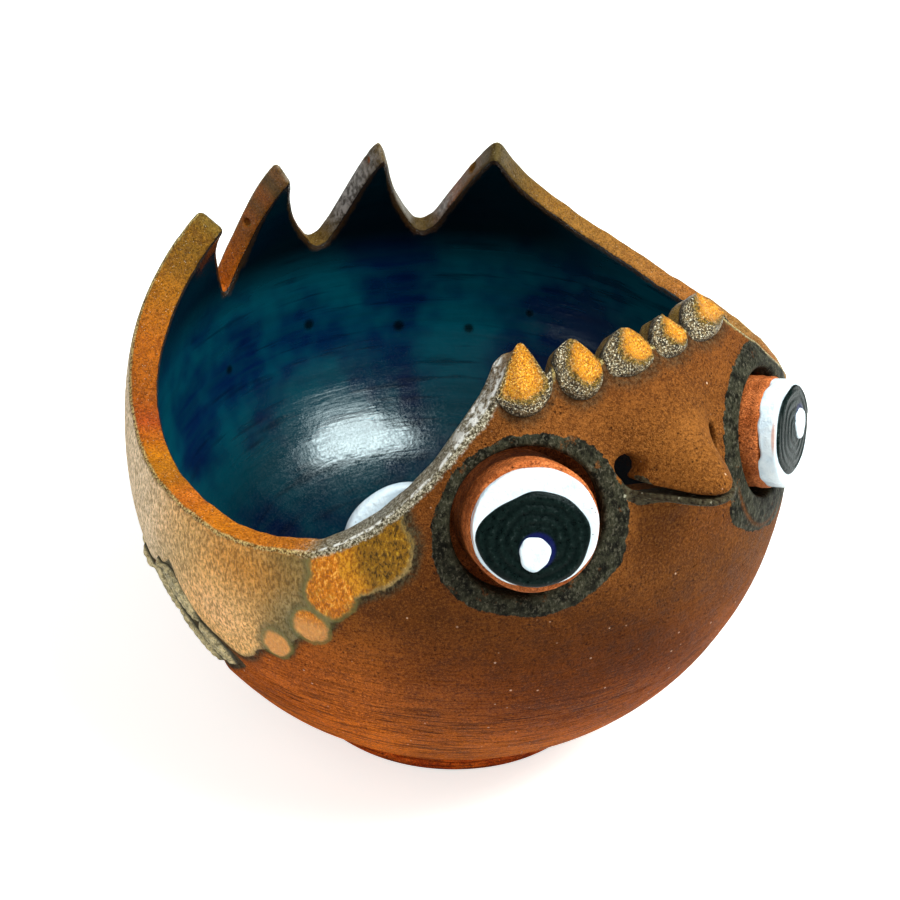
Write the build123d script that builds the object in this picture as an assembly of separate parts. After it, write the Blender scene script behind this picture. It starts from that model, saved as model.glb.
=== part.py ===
from build123d import *
import os
from math import sin, cos, asin, radians, degrees, sqrt, pi

# A thrown spherical yarn bowl shaped as an owl: a ball shell on a low foot with a wavy open rim,
# a beak over a yarn slot, a tufted brow, feathers, and two loose eye plugs in oversize holes.
# Millimetres and degrees. Z is up and the foot stands on z = 0. The face looks towards -Y;
# left is -X and right is +X, as the viewer sees them.
#
# Places on the ball are (azimuth, rise). Azimuth 0 faces -Y and grows towards +X. Rise is the
# height above the ball's centre as a share of the distance from it (sine of the elevation).

# ---------------------------------------------------------------- ball, floor and foot
WALL = 6.0
BALL_R = 75.0           # outside of the wall
INNER_R = BALL_R - WALL
CENTRE_Z = 70.0
CENTRE = Vector(0, 0, CENTRE_Z)
FLOOR_UNDER = 2.6       # underside of the bowl's floor, where it sits on the foot
FLOOR_TOP = 10.0        # inner floor level at the centre
FLOOR_FLAT_R = 12.0     # nearly flat middle of the floor
FLOOR_FLAT_RISE = .2    # how much the flat middle rises to its edge
WALL_START = 36.0       # the inner wall becomes spherical here, degrees from straight down
CLEAR_BOX = 200.0       # side of a box larger than the ball
FOOT_R = 40.0
FOOT_TOP_R = 39.3       # where the foot meets the belly
FOOT_H = 6.4
FOOT_CHAMFER = .9

# ---------------------------------------------------------------- rim
# (azimuth, rise)
RIM = [
    (-180, .275), (-177.5, .325), (-175, .39), (-172, .48), (-168.5, .58), (-166.3, .625),
    (-164.8, .640), (-163.9, .60), (-163.4, .50), (-162.3, .37), (-160.6, .28), (-159.3, .215),
    (-158.3, .187), (-157.3, .192), (-156.2, .24), (-153, .34), (-148, .45), (-143.5, .55),
    (-141, .59), (-138.5, .610), (-136.2, .598), (-134, .54), (-131, .46), (-126, .378),
    (-121, .315), (-115, .27), (-109, .232), (-103, .203), (-97, .182), (-91, .170),
    (-84, .162), (-77, .162), (-70, .172), (-63, .192), (-58, .21), (-54.5, .24), (-51, .28),
    (-47.2, .33), (-44, .372), (-40.2, .435), (-36.3, .505), (-32.5, .567), (-29.3, .625),
    (-27, .680), (-25, .714), (-23.5, .718), (-21.8, .695), (-19.8, .652), (-18.9, .655),
    (-16.8, .695), (-14.3, .716), (-12.3, .712), (-10, .69), (-8.6, .668), (-7.7, .672),
    (-5.2, .698), (-2.2, .710), (.2, .706), (2.2, .690), (3.8, .668), (4.8, .668), (7, .695),
    (9.2, .708), (11.2, .700), (13.4, .672), (14.3, .668), (17, .690), (20.5, .705), (24, .700),
    (26.2, .672), (29, .625), (32.5, .567), (36.3, .508), (40.2, .44), (44, .38), (47.2, .335),
    (51, .29), (55, .258), (60, .235), (66, .218), (74, .203), (84, .190), (92, .187),
    (99, .198), (105, .220), (110, .247), (115, .280), (120.5, .325), (126, .385), (131, .455),
    (134, .53), (136, .595), (137.3, .612), (138.8, .600), (141, .555), (143.6, .490),
    (146.5, .40), (149, .32), (151, .262), (153.2, .235), (155, .245), (157.3, .30), (160, .39),
    (162.2, .49), (164, .575), (165.8, .615), (167.4, .595), (168.6, .54), (170.2, .45),
    (171.8, .37), (173.8, .285), (175.6, .237), (177.4, .228), (179, .245), (180, .275)]
# Outward lean of the rim's cut beside the left eye: (azimuth, lean).
# 0 runs along the radius, 1 is level, more than 1 falls outwards.
LEAN = [(-73, 0), (-63, .35), (-56, 1.1), (-50, 1.42), (-29, 1.42), (-28, 1.065), (-27, .71),
        (-26, .355), (-25.5, .1775), (-25, 0)]
LEAN_MARGIN = 2.5       # the leaning part of the cut reaches this far past both wall faces
CUT_R = 150.0           # outer reach of the rim's cut
CUT_APEX_H = 320.0      # top of the cutter above the ball's centre
CUT_STEP = 3.4          # subdivides the rim's stations, degrees

# ---------------------------------------------------------------- beak, slot and nostrils
BEAK_AZ = 1.5
NOSTRIL_OFFSET = 9.0    # either side of the beak, degrees
NOSTRIL_RISE = .442
NOSTRIL_R = 2.5
NOSTRIL_SIDES = 16
NOSTRIL_NARROWING = .9  # parallel's radius at the nostrils as a share of BALL_R
OPENING_R = (55, 95)    # radii between which the slot and nostrils are cut
SLOT_W = 1.8
# Half of the smile-shaped slot: (degrees from the beak's middle, rise)
SLOT = [(0, .358), (1.5, .3595), (3, .3645), (5, .3745), (7, .3825), (8.1, .3905),
        (8.8, .404), (9.05, .42), (9.1, .44)]
# Beak's ridge: (rise, height off the ball)
RIDGE = [(.34, 14.6), (.375, 14.6), (.395, 13.6), (.42, 11.4), (.445, 9.4), (.47, 7.5),
         (.50, 5.5), (.54, 3.0), (.572, 1.2), (.62, .3), (.70, 0)]
BEAK_HALF = 8.6         # half width of the beak, degrees
BEAK_TOP = .572         # rise
LIP_HALF = 7.0          # half width of the lip, degrees
LIP_H = 12.9
SLOT_GAP = .0135        # rise between the slot's middle and the beak or lip
BEAK_EDGE_H = .25       # least height of beak and lip off the ball
BEAK_ROOT = 1.5         # depth of their undersides below the ball's surface before trimming

# ---------------------------------------------------------------- brow and wings
# Tufts: name, start, end and crest azimuth, rise of the lower edge
TUFTS = [("brow_tuft_outer_left", -30.5, -18.2, -24.3, .578),
         ("brow_tuft_left", -17.8, -7.9, -13.2, .597),
         ("brow_tuft_middle", -7.5, 4.2, -1.6, .618),
         ("brow_tuft_right", 4.6, 14.2, 9.4, .622),
         ("brow_tuft_outer_right", 14.6, 29.5, 21.5, .612)]
TUFT_END_RISE = .634    # lower edge at a tuft's two ends
TUFT_MIN = .012         # least extent of a tuft below the rim, in rise
TUFT_EDGE_H = .2
TUFT_H = 2.6
# Left wing's feathers: azimuth, rise, half length, half width, tilt of the long axis from level
FEATHERS = [(-88.5, -.195, 8.5, 3.6, -48), (-80.5, -.325, 6.5, 3.1, -42),
            (-98, -.275, 9.0, 4.0, -52), (-89.5, -.410, 8.0, 3.7, -44),
            (-108, -.350, 9.0, 4.1, -55), (-99.5, -.490, 8.0, 3.6, -46)]
FEATHER_EDGE_H = .15
FEATHER_H = 1.1

# ---------------------------------------------------------------- eyes
LEFT, RIGHT = -1, 1
# hole_az, hole_el: direction of the hole; plug_az, plug_el: direction of the plug askew in it.
# Azimuths here are measured outwards from the front. bare_end and front are distances along
# the plug: end of the bare barrel and the white's front. The pupil and sparkle are placed on
# the white's front.
EYES = {
    LEFT: dict(hole_az=24.5, hole_el=19.8, hole_r=14.7, plug_az=26.5, plug_el=29.0,
               barrel_r=12.3, flange_r=17.8, bare_end=80.9, front=82.6, front_r=11.9,
               pupil_at=(-.5, -2.2), pupil_radii=(10.6, 8.7), sparkle_at=(-.6, -4.7)),
    RIGHT: dict(hole_az=28.5, hole_el=18.0, hole_r=13.3, plug_az=29.5, plug_el=14.5,
                barrel_r=11.6, flange_r=16.6, bare_end=75.9, front=79.6, front_r=11.25,
                pupil_at=(.3, .9), pupil_radii=(10.3, 8.7), sparkle_at=(3.4, .7))}
PIVOT = 71.0            # the hole's and plug's axes cross this far from the ball's centre
FLANGE_BACK = 57.6      # along the plug
FLANGE_FACE = 61.5
FLANGE_BEVEL = .8
FLANGE_BACK_STEP = .9   # radius lost at the flange's back edge
BARREL_FLARE = .3       # extra radius where the barrel meets the flange
FLARE_LENGTH = 3.5
WHITE_BEVEL = .7        # length of the bevel on the white's front
PUPIL_T = 0.9
SPARKLE_R = 3.0
SPARKLE_T = 0.6


# ---------------------------------------------------------------- helpers
def lookup(table, x):
    """Straight-line look-up in sorted pairs, held level past the ends."""
    if x <= table[0][0]:
        return table[0][1]
    for (x0, y0), (x1, y1) in zip(table, table[1:]):
        if x <= x1:
            return y0 + (y1 - y0) * (x - x0) / (x1 - x0)
    return table[-1][1]


def rim_rise(az):
    return lookup(RIM, (az + 180.0) % 360.0 - 180.0)


def point(radius, az, rise):
    """Point at a distance from the ball's centre."""
    level = radius * sqrt(max(0.0, 1 - rise * rise))
    return (level * sin(radians(az)), -level * cos(radians(az)), CENTRE_Z + radius * rise)


def shift(az, rise, dx, dy):
    """Place reached by moving dx sideways and dy up over the ball's surface."""
    level = BALL_R * sqrt(1 - rise * rise)
    return az + degrees(dx / level), sin(asin(rise) + dy / BALL_R)


def quad(a, b, c, d):
    """Two triangles over four corners."""
    return [(a, b, c), (a, c, d)]


def faceted(triangles):
    """Solid closed by flat triangles."""
    return Solid(Shell([Face(Wire.make_polygon([Vector(*corner) for corner in triangle],
                                               close=True)) for triangle in triangles]))


def largest(shape):
    return max(shape.solids(), key=lambda solid: solid.volume)


def radial_prism(loop, r_in, r_out):
    """Cutter along the radii through a closed loop of places."""
    count = len(loop)
    middle = (sum(p[0] for p in loop) / count, sum(p[1] for p in loop) / count)
    inner = [point(r_in, *place) for place in loop]
    outer = [point(r_out, *place) for place in loop]
    inner_mid, outer_mid = point(r_in, *middle), point(r_out, *middle)
    triangles = []
    for i in range(count):
        j = (i + 1) % count
        triangles += [(inner_mid, inner[j], inner[i]), (outer_mid, outer[i], outer[j])]
        triangles += quad(inner[i], inner[j], outer[j], outer[i])
    return faceted(triangles)


def radial_ribbon(path, width, r_in, r_out):
    """Cutter along the radii, of constant width, following a path of places."""
    sections = []
    for i, (az, rise) in enumerate(path):
        az0, rise0 = path[max(0, i - 1)]
        az1, rise1 = path[min(len(path) - 1, i + 1)]
        dx = radians(az1 - az0) * sqrt(1 - rise * rise) * BALL_R
        dy = (asin(rise1) - asin(rise0)) * BALL_R
        length = sqrt(dx * dx + dy * dy)
        side_x, side_y = -dy / length * width / 2, dx / length * width / 2
        one = shift(az, rise, side_x, side_y)
        other = shift(az, rise, -side_x, -side_y)
        sections.append([point(r_in, *one), point(r_out, *one),
                         point(r_out, *other), point(r_in, *other)])
    triangles = quad(*sections[0]) + quad(*reversed(sections[-1]))
    for near, far in zip(sections, sections[1:]):
        for k in range(4):
            j = (k + 1) % 4
            triangles += quad(near[k], far[k], far[j], near[j])
    return faceted(triangles)


def relief(cols, rows, place, height, depth):
    """Raised skin trimmed to the ball. place and height take shares (across, up) of the grid;
    before trimming, the underside lies depth below the ball's surface."""
    top, low = [], []
    for i in range(cols + 1):
        shares = [(i / cols, j / rows) for j in range(rows + 1)]
        top.append([point(BALL_R + height(*share), *place(*share)) for share in shares])
        low.append([point(BALL_R - depth, *place(*share)) for share in shares])
    triangles = []
    for i in range(cols):
        for j in range(rows):
            triangles += quad(top[i][j], top[i + 1][j], top[i + 1][j + 1], top[i][j + 1])
            triangles += quad(low[i + 1][j], low[i][j], low[i][j + 1], low[i + 1][j + 1])
    for i in range(cols):
        triangles += quad(low[i][0], low[i + 1][0], top[i + 1][0], top[i][0])
        triangles += quad(top[i][-1], top[i + 1][-1], low[i + 1][-1], low[i][-1])
    for j in range(rows):
        triangles += quad(top[0][j], top[0][j + 1], low[0][j + 1], low[0][j])
        triangles += quad(low[-1][j], low[-1][j + 1], top[-1][j + 1], top[-1][j])
    return faceted(triangles) - ball


def direction(side, az, el):
    return Vector(side * sin(radians(az)) * cos(radians(el)),
                  -cos(radians(az)) * cos(radians(el)), sin(radians(el)))


def axis_plane(origin, side, az, el):
    """Plane whose Z runs along a direction and whose X is level."""
    return Plane(origin=origin, x_dir=Vector(cos(radians(az)), side * sin(radians(az)), 0),
                 z_dir=direction(side, az, el))


def hole_plane(side):
    """Plane at the ball's centre, Z along the eye hole."""
    eye = EYES[side]
    return axis_plane(CENTRE, side, eye["hole_az"], eye["hole_el"])


def plug_plane(side):
    """Plane PIVOT behind the crossing of the two axes, Z along the plug."""
    eye = EYES[side]
    hole_way = direction(side, eye["hole_az"], eye["hole_el"])
    plug_way = direction(side, eye["plug_az"], eye["plug_el"])
    origin = CENTRE + hole_way * PIVOT - plug_way * PIVOT
    return axis_plane(origin, side, eye["plug_az"], eye["plug_el"])


# ---------------------------------------------------------------- bowl and foot
def cavity():
    angle = radians(WALL_START)
    wall_start = (INNER_R * sin(angle), CENTRE_Z - INNER_R * cos(angle))
    with BuildPart() as hollow:
        with BuildSketch(Plane.XZ):
            with BuildLine():
                floor = Line((0, FLOOR_TOP), (FLOOR_FLAT_R, FLOOR_TOP + FLOOR_FLAT_RISE))
                bend = Spline(floor @ 1, wall_start,
                              tangents=[(1, .03), (cos(angle), sin(angle))])
                dome = RadiusArc(bend @ 1, (0, CENTRE_Z + INNER_R), -INNER_R)
                Line(dome @ 1, floor @ 0)
            make_face()
        revolve(axis=Axis.Z)
    return hollow.part


def cut_chain(az):
    """Points of the rim's cut from the ball's centre outwards."""
    rise, lean = rim_rise(az), lookup(LEAN, az)
    chain = [(0.0, 0.0, CENTRE_Z)]
    if lean > 0:
        chain += [point(r, az, rise * (r + lean * (BALL_R - r)) / r)
                  for r in (INNER_R - LEAN_MARGIN, BALL_R + LEAN_MARGIN)]
    return chain + [point(CUT_R, az, rise)]


def rim_cutter():
    """Everything above the rim."""
    knots = sorted({az for az, _ in RIM + LEAN if az < 180})
    azimuths = []
    for start, end in zip(knots, knots[1:] + [180]):
        steps = max(1, int((end - start) / CUT_STEP))
        azimuths += [start + (end - start) * i / steps for i in range(steps)]
    chains = [cut_chain(az) for az in azimuths]
    apex = (0.0, 0.0, CENTRE_Z + CUT_APEX_H)
    triangles = []
    for here, after in zip(chains, chains[1:] + chains[:1]):
        if len(here) == len(after):
            triangles.append((here[0], after[1], here[1]))
            for k in range(1, len(here) - 1):
                triangles += quad(after[k], after[k + 1], here[k + 1], here[k])
        elif len(here) > len(after):
            triangles += [(here[k], after[-1], here[k + 1]) for k in range(3)]
        else:
            triangles += [(after[k], after[k + 1], here[-1]) for k in range(3)]
        triangles.append((apex, here[-1], after[-1]))
    return faceted(triangles)


def slot_cutter():
    path = [(BEAK_AZ - offset, rise) for offset, rise in reversed(SLOT)]
    path += [(BEAK_AZ + offset, rise) for offset, rise in SLOT[1:]]
    return radial_ribbon(path, SLOT_W, *OPENING_R)


def nostril_cutter(side):
    loop = []
    for i in range(NOSTRIL_SIDES):
        turn = 2 * pi * i / NOSTRIL_SIDES
        across = degrees(NOSTRIL_R * cos(turn) / (BALL_R * NOSTRIL_NARROWING))
        loop.append((BEAK_AZ + side * NOSTRIL_OFFSET + across,
                     NOSTRIL_RISE + NOSTRIL_R * sin(turn) / BALL_R))
    return radial_prism(loop, *OPENING_R)


def bowl_shell():
    shell = belly - cavity()
    shell = shell - rim_cutter()
    for side in (LEFT, RIGHT):
        shell = shell - hole_plane(side) * Pos(0, 0, 72) * Cylinder(EYES[side]["hole_r"], 30)
    for cutter in [slot_cutter()] + nostrils:
        shell = shell - cutter
    return shell


def foot():
    with BuildPart() as disc:
        with BuildSketch(Plane.XZ):
            with BuildLine():
                Polyline((0, 0), (FOOT_R - FOOT_CHAMFER, 0), (FOOT_R, FOOT_CHAMFER),
                         (FOOT_R - .1, 3.2), (FOOT_TOP_R, FOOT_H), (0, FOOT_H), close=True)
            make_face()
        revolve(axis=Axis.Z)
    return disc.part - belly


def inner_pad():
    """Round pad on a short stub inside the wall beside the left eye, clear of its flange."""
    plane = hole_plane(LEFT)
    pad = (plane * Pos(-20.3, -7.8, 60.1) * Cylinder(13.5, 2.8)
           + plane * Pos(-25.5, -9.5, 63.5) * Cylinder(4.6, 7))
    clearance = Cylinder(EYES[LEFT]["flange_r"] + 1.2, 20)
    pad = (pad & (Pos(0, 0, CENTRE_Z) * Sphere(INNER_R))) \
        - plug_plane(LEFT) * Pos(0, 0, 62) * clearance
    return largest(pad)


# ---------------------------------------------------------------- beak
def slot_rise(offset):
    return lookup(SLOT[:-1], abs(offset))


def swell(offset, half):
    """Bell across the beak, 1 in the middle and 0 at half; both in degrees."""
    return cos(min(1.0, abs(offset) / half) * pi / 2) ** 2


def beak():
    """Pinched tongue above the slot, notched by the nostrils."""
    def place(across, up):
        offset = (2 * across - 1) * BEAK_HALF
        low = slot_rise(offset) + SLOT_GAP + max(0.0, abs(offset) - 5.4) * .026
        return BEAK_AZ + offset, low + (BEAK_TOP - low) * up

    def height(across, up):
        az, rise = place(across, up)
        half = 11.3 + 30 * max(0.0, rise - .44)
        return BEAK_EDGE_H + lookup(RIDGE, rise) * swell(az - BEAK_AZ, half) * (1 - .12 * up)

    tongue = relief(18, 16, place, height, BEAK_ROOT)
    for cutter in nostrils:
        tongue = tongue - cutter
    return largest(tongue)


def beak_lip():
    """Lip below the slot."""
    def place(across, up):
        offset = (2 * across - 1) * LIP_HALF
        high = slot_rise(offset) - SLOT_GAP
        return BEAK_AZ + offset, high - (.022 + .020 * swell(offset, 8)) * (1 - up)

    def height(across, up):
        offset = (2 * across - 1) * LIP_HALF
        return BEAK_EDGE_H + LIP_H * swell(offset, 9.6) * min(1.0, up * 1.7) ** .8

    return relief(16, 7, place, height, BEAK_ROOT)


# ---------------------------------------------------------------- brow and wings
def tuft(start, end, crest, low_rise):
    """Tuft hanging from the rim, highest off the ball along its crest."""
    def place(across, up):
        az = start + (end - start) * across
        high = rim_rise(az)
        low = low_rise + (TUFT_END_RISE - low_rise) * abs(2 * across - 1) ** 2.2
        low = min(low, high - TUFT_MIN)
        return az, low + (high - low) * up

    def height(across, up):
        az = start + (end - start) * across
        side = (az - start) / (crest - start) if az < crest else (end - az) / (end - crest)
        lower_edge = min(1.0, (up + .02) * 3.2) ** .6
        return TUFT_EDGE_H + TUFT_H * max(0.0, side) ** .75 * lower_edge * (1 - .45 * up)

    return relief(12, 9, place, height, 1.2)


def feather(az, rise, half_length, half_width, tilt):
    """Pointed oval of low relief."""
    def place(across, up):
        along = 2 * across - 1
        x = half_length * along
        y = (half_width * (1 - abs(along) ** 2.0) ** .75 + .05) * (2 * up - 1)
        turn = radians(tilt)
        return shift(az, rise, x * cos(turn) - y * sin(turn), x * sin(turn) + y * cos(turn))

    def height(across, up):
        return FEATHER_EDGE_H + (FEATHER_H * (1 - abs(2 * across - 1) ** 2.4)
                                 * (1 - abs(2 * up - 1) ** 2.4))

    return relief(12, 6, place, height, 1.0)


def wing(side):
    feathers = [feather(*row) for row in FEATHERS]
    if side == RIGHT:
        feathers = [mirror(shape, Plane.YZ) for shape in feathers]
    return Compound(children=[shape.solids()[0] for shape in feathers])


# ---------------------------------------------------------------- loose eyes
def eye_parts(side):
    """Flange, barrel, white, pupil and sparkle of one plug."""
    plane, eye = plug_plane(side), EYES[side]
    flange_r, barrel_r, front_r = eye["flange_r"], eye["barrel_r"], eye["front_r"]
    bare_end, front = eye["bare_end"], eye["front"]

    def turned(z0, z1, r0, r1=None):
        """Cylinder, or cone when r1 is given, from z0 to z1 along the plug."""
        body = Cylinder(r0, z1 - z0) if r1 is None else Cone(r0, r1, z1 - z0)
        return plane * Pos(0, 0, (z0 + z1) / 2) * body

    back_bevel = FLANGE_BACK + FLANGE_BEVEL
    face_bevel = FLANGE_FACE - FLANGE_BEVEL
    flange = (turned(back_bevel, face_bevel, flange_r)
              + turned(FLANGE_BACK, back_bevel, flange_r - FLANGE_BACK_STEP, flange_r)
              + turned(face_bevel, FLANGE_FACE, flange_r, flange_r - FLANGE_BEVEL))
    flare_end = FLANGE_FACE + FLARE_LENGTH
    barrel = (turned(FLANGE_FACE, flare_end, barrel_r + BARREL_FLARE, barrel_r)
              + turned(flare_end, bare_end, barrel_r))
    white_bevel = front - WHITE_BEVEL
    white = (turned(bare_end, white_bevel, barrel_r + .15, front_r + .1)
             + turned(white_bevel, front, front_r + .1, front_r - .55))
    pupil = extrude(plane * Pos(*eye["pupil_at"], front) * Ellipse(*eye["pupil_radii"]), PUPIL_T)
    sparkle = (plane * Pos(*eye["sparkle_at"], front + PUPIL_T + SPARKLE_T / 2)
               * Cylinder(SPARKLE_R, SPARKLE_T))
    return dict(flange=flange, barrel=barrel, white=white, pupil=pupil, sparkle=sparkle)


# ---------------------------------------------------------------- build and export
ball = Pos(0, 0, CENTRE_Z) * Sphere(BALL_R)
# The ball with its underside cut flat
belly = ball & Pos(0, 0, FLOOR_UNDER + CLEAR_BOX / 2) * Box(CLEAR_BOX, CLEAR_BOX, CLEAR_BOX)
nostrils = [nostril_cutter(side) for side in (LEFT, RIGHT)]

parts = {"bowl_shell": bowl_shell(), "foot": foot(), "beak": beak(), "beak_lip": beak_lip(),
         "inner_pad": inner_pad()}
for tuft_name, *tuft_shape in TUFTS:
    parts[tuft_name] = tuft(*tuft_shape)
for side, word in ((LEFT, "left"), (RIGHT, "right")):
    parts[f"{word}_wing_feathers"] = wing(side)
    for piece, shape in eye_parts(side).items():
        parts[f"{word}_eye_{piece}"] = shape

os.makedirs("parts", exist_ok=True)
for name, shape in parts.items():
    export_step(shape, f"parts/{name}.step")
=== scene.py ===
# A glazed clay bowl with an owl's face: a cut-open sphere on a round foot, with a beak, two eye
# plugs held in holes in the wall, five brow tufts on the rim and a wing of six leaves on each side.
# The foot stands on z = 0, the bowl's axis is Z and the face looks towards -Y. "Left" is -X.
# Shapes are worked out in mm from the sphere's centre and become metres when a mesh is made.
# A place on the sphere is (azimuth, rise): degrees from -Y towards +X, and the sine of elevation.
from math import asin, ceil, cos, degrees, pi, radians, sin, sqrt

import bpy
import numpy as np
from mathutils import Matrix, Vector


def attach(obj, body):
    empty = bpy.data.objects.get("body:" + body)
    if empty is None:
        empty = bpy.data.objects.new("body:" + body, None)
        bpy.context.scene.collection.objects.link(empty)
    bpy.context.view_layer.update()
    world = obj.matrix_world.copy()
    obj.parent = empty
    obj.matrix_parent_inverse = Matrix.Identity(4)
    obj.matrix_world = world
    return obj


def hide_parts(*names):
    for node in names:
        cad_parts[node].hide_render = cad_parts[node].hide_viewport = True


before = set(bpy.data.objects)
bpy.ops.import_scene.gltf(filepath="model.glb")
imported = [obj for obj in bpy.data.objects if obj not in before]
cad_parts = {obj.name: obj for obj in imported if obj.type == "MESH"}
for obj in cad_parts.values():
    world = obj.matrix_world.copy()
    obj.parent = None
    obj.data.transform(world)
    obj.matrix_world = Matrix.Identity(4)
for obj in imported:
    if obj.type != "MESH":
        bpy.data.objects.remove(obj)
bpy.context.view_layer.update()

# ---------------------------------------------------------------- driving sizes (mm, degrees)
RADIUS, INNER_RADIUS = 75.0, 69.0
CENTRE_Z = 70.0                       # height of the sphere's centre
UNDERSIDE_Z = 2.6                     # the bowl is cut flat here, inside the foot
FLOOR_Z = 10.0                        # top of the floor inside
GRID = .52     # cell size of the bowl's mesh
BEAK_AZ = 1.5
LEFT, RIGHT = -1, 1
SIDES = ((LEFT, "left"), (RIGHT, "right"))

# Eyes. Distances run along the plug's axis; the two axes, hole's and plug's, meet at PIVOT.
PIVOT = 71.0
FLANGE_BACK, FLANGE_FACE = 57.6, 61.5
# hole, stem, flange and cap are radii; bare is where the bare stem ends, front the white's face.
# The pupil is an ellipse with waves (size, lobes, phase) and a dip, kept inside the limit ellipse.
EYES = {
    LEFT: dict(
        az=24.5, el=19.8, hole=14.7, plug_az=26.5, plug_el=29.0, stem=12.3, flange=17.8,
        bare=80.9, front=82.6, cap=11.9, phase=5, oval=.075, ragged=.55,
        pupil=(-.5, -2.15), pupil_half=(10.7, 8.9), limit=(11.75, 11.15), dip=.06,
        waves=((.022, 3, -1.2), (.014, 5, .6), (.008, 9, 0)),
        dot=(-.6, -4.6), brush_relief=.4, pale=.12),
    RIGHT: dict(
        az=28.5, el=18.0, hole=13.3, plug_az=29.5, plug_el=14.5, stem=11.6, flange=16.6,
        bare=75.9, front=79.6, cap=11.25, phase=6, oval=.01, ragged=1.0,
        pupil=(.3, .8), pupil_half=(10.3, 8.8), limit=(11.0, 10.95), dip=0,
        waves=((.02, 3, .5), (.015, 6, 1.6)),
        dot=(3.4, .6), brush_relief=1.3, pale=.55)}

# The rim all round: azimuth, rise
RIM = [
    (-180, .275), (-177.5, .325), (-175, .39), (-172, .48), (-168.5, .58), (-166.3, .625),
    (-164.8, .640), (-163.9, .60), (-163.4, .50), (-162.3, .37), (-160.6, .28), (-159.3, .215),
    (-158.3, .187), (-157.3, .192), (-156.2, .24), (-153, .34), (-148, .45), (-143.5, .55),
    (-141, .59), (-138.5, .610), (-136.2, .598), (-134, .54), (-131, .46), (-126, .378),
    (-121, .315), (-115, .27), (-109, .232), (-103, .203), (-97, .182), (-91, .170), (-84, .162),
    (-77, .162), (-70, .172), (-63, .192), (-58, .21), (-54.5, .24), (-51, .28), (-47.2, .33),
    (-44, .372), (-40.2, .435), (-36.3, .505), (-32.5, .567), (-29.3, .625), (-27, .680),
    (-25, .714), (-23.5, .718), (-21.8, .695), (-19.8, .652), (-18.9, .655), (-16.8, .695),
    (-14.3, .716), (-12.3, .712), (-10, .69), (-8.6, .668), (-7.7, .672), (-5.2, .698),
    (-2.2, .710), (.2, .706), (2.2, .690), (3.8, .668), (4.8, .668), (7, .695), (9.2, .708),
    (11.2, .700), (13.4, .672), (14.3, .668), (17, .690), (20.5, .705), (24, .700), (26.2, .672),
    (29, .625), (32.5, .567), (36.3, .508), (40.2, .44), (44, .38), (47.2, .335), (51, .29),
    (55, .258), (60, .235), (66, .218), (74, .203), (84, .190), (92, .187), (99, .198),
    (105, .220), (110, .247), (115, .280), (120.5, .325), (126, .385), (131, .455), (134, .53),
    (136, .595), (137.3, .612), (138.8, .600), (141, .555), (143.6, .490), (146.5, .40),
    (149, .32), (151, .262), (153.2, .235), (155, .245), (157.3, .30), (160, .39), (162.2, .49),
    (164, .575), (165.8, .615), (167.4, .595), (168.6, .54), (170.2, .45), (171.8, .37),
    (173.8, .285), (175.6, .237), (177.4, .228), (179, .245), (180, .275)]
# How the rim's cut leans outwards: azimuth, lean (0 along the radius, 1 level)
LEAN = [(-73, 0), (-63, .35), (-56, 1.1), (-50, 1.42), (-29, 1.42), (-25, 0)]

# Painted rings round the eyes: azimuth, rise
LEFT_RING = [
    (-22, .546), (-28, .541), (-33.8, .504), (-37.5, .447), (-39.3, .377), (-39.3, .291),
    (-38.2, .213), (-35.4, .146), (-31.7, .108), (-24.7, .086), (-19.7, .086), (-13.4, .136),
    (-9.3, .205), (-8.0, .294), (-8.1, .383), (-11.1, .476), (-15.9, .531)]
RIGHT_RING = [
    (22, .53), (27, .545), (33, .54), (39, .50), (43.5, .43), (45.5, .33), (45, .23), (42.5, .12),
    (38.8, .02), (31.3, -.005), (25, .03), (18.8, .081), (12.8, .160), (13.4, .230), (12.7, .296),
    (13.7, .40), (16.3, .475)]
# Tan glaze over each shoulder: azimuth, rise
LEFT_PATCH = [
    (-170, .40), (-170, .02), (-150, -.08), (-135, -.14), (-122, -.20), (-110, -.24),
    (-101, -.22), (-95, -.16), (-91, -.13), (-87.6, -.135), (-85, -.17), (-83, -.215),
    (-80, -.238), (-77, -.245), (-74, -.268), (-71, -.262), (-68.5, -.215), (-66.8, -.170),
    (-64.6, -.165), (-62.2, -.160), (-60.2, -.09), (-58.5, -.045), (-56, -.045), (-54.2, .00),
    (-53.0, .055), (-50.5, .105), (-47.5, .140), (-45, .158), (-42.6, .205), (-41.4, .255),
    (-41.6, .30), (-44, .345), (-44, .60), (-70, .60), (-120, .60)]
RIGHT_PATCH = [
    (170, .40), (170, .02), (150, -.08), (135, -.14), (122, -.20), (110, -.24), (101, -.22),
    (95, -.16), (91, -.13), (86, -.16), (81, -.225), (76, -.26), (71, -.255), (67, -.20),
    (63, -.155), (59, -.10), (55, -.03), (51, .06), (46, .13), (42.5, .19), (41.6, .25),
    (42.4, .31), (45, .36), (45, .60), (70, .60), (120, .60)]
# Amber blobs: azimuth, rise, two half axes in mm, tilt in degrees
BLOBS = [
    (-54.2, .105, 5.1, 5.4, 10), (-55.2, .175, 3.2, 6.0, 8), (-57.2, -.014, 4.1, 4.1, 0),
    (-63.6, -.125, 3.5, 3.9, -15), (54.0, .100, 5.0, 5.4, -10), (55.2, .170, 3.2, 5.8, -8),
    (58.0, -.02, 4.0, 4.1, 0), (64.3, -.13, 3.5, 3.8, 15)]
# Olive lobe beside the left eye, mirrored on the right: azimuth, rise
LOBE = [
    (-57.6, .33), (-50, .50), (-40.6, .45), (-41.2, .31), (-41.9, .25), (-43.3, .198),
    (-46.2, .152), (-49.8, .118), (-52.0, .06), (-55.0, .10), (-56.6, .23)]
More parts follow.
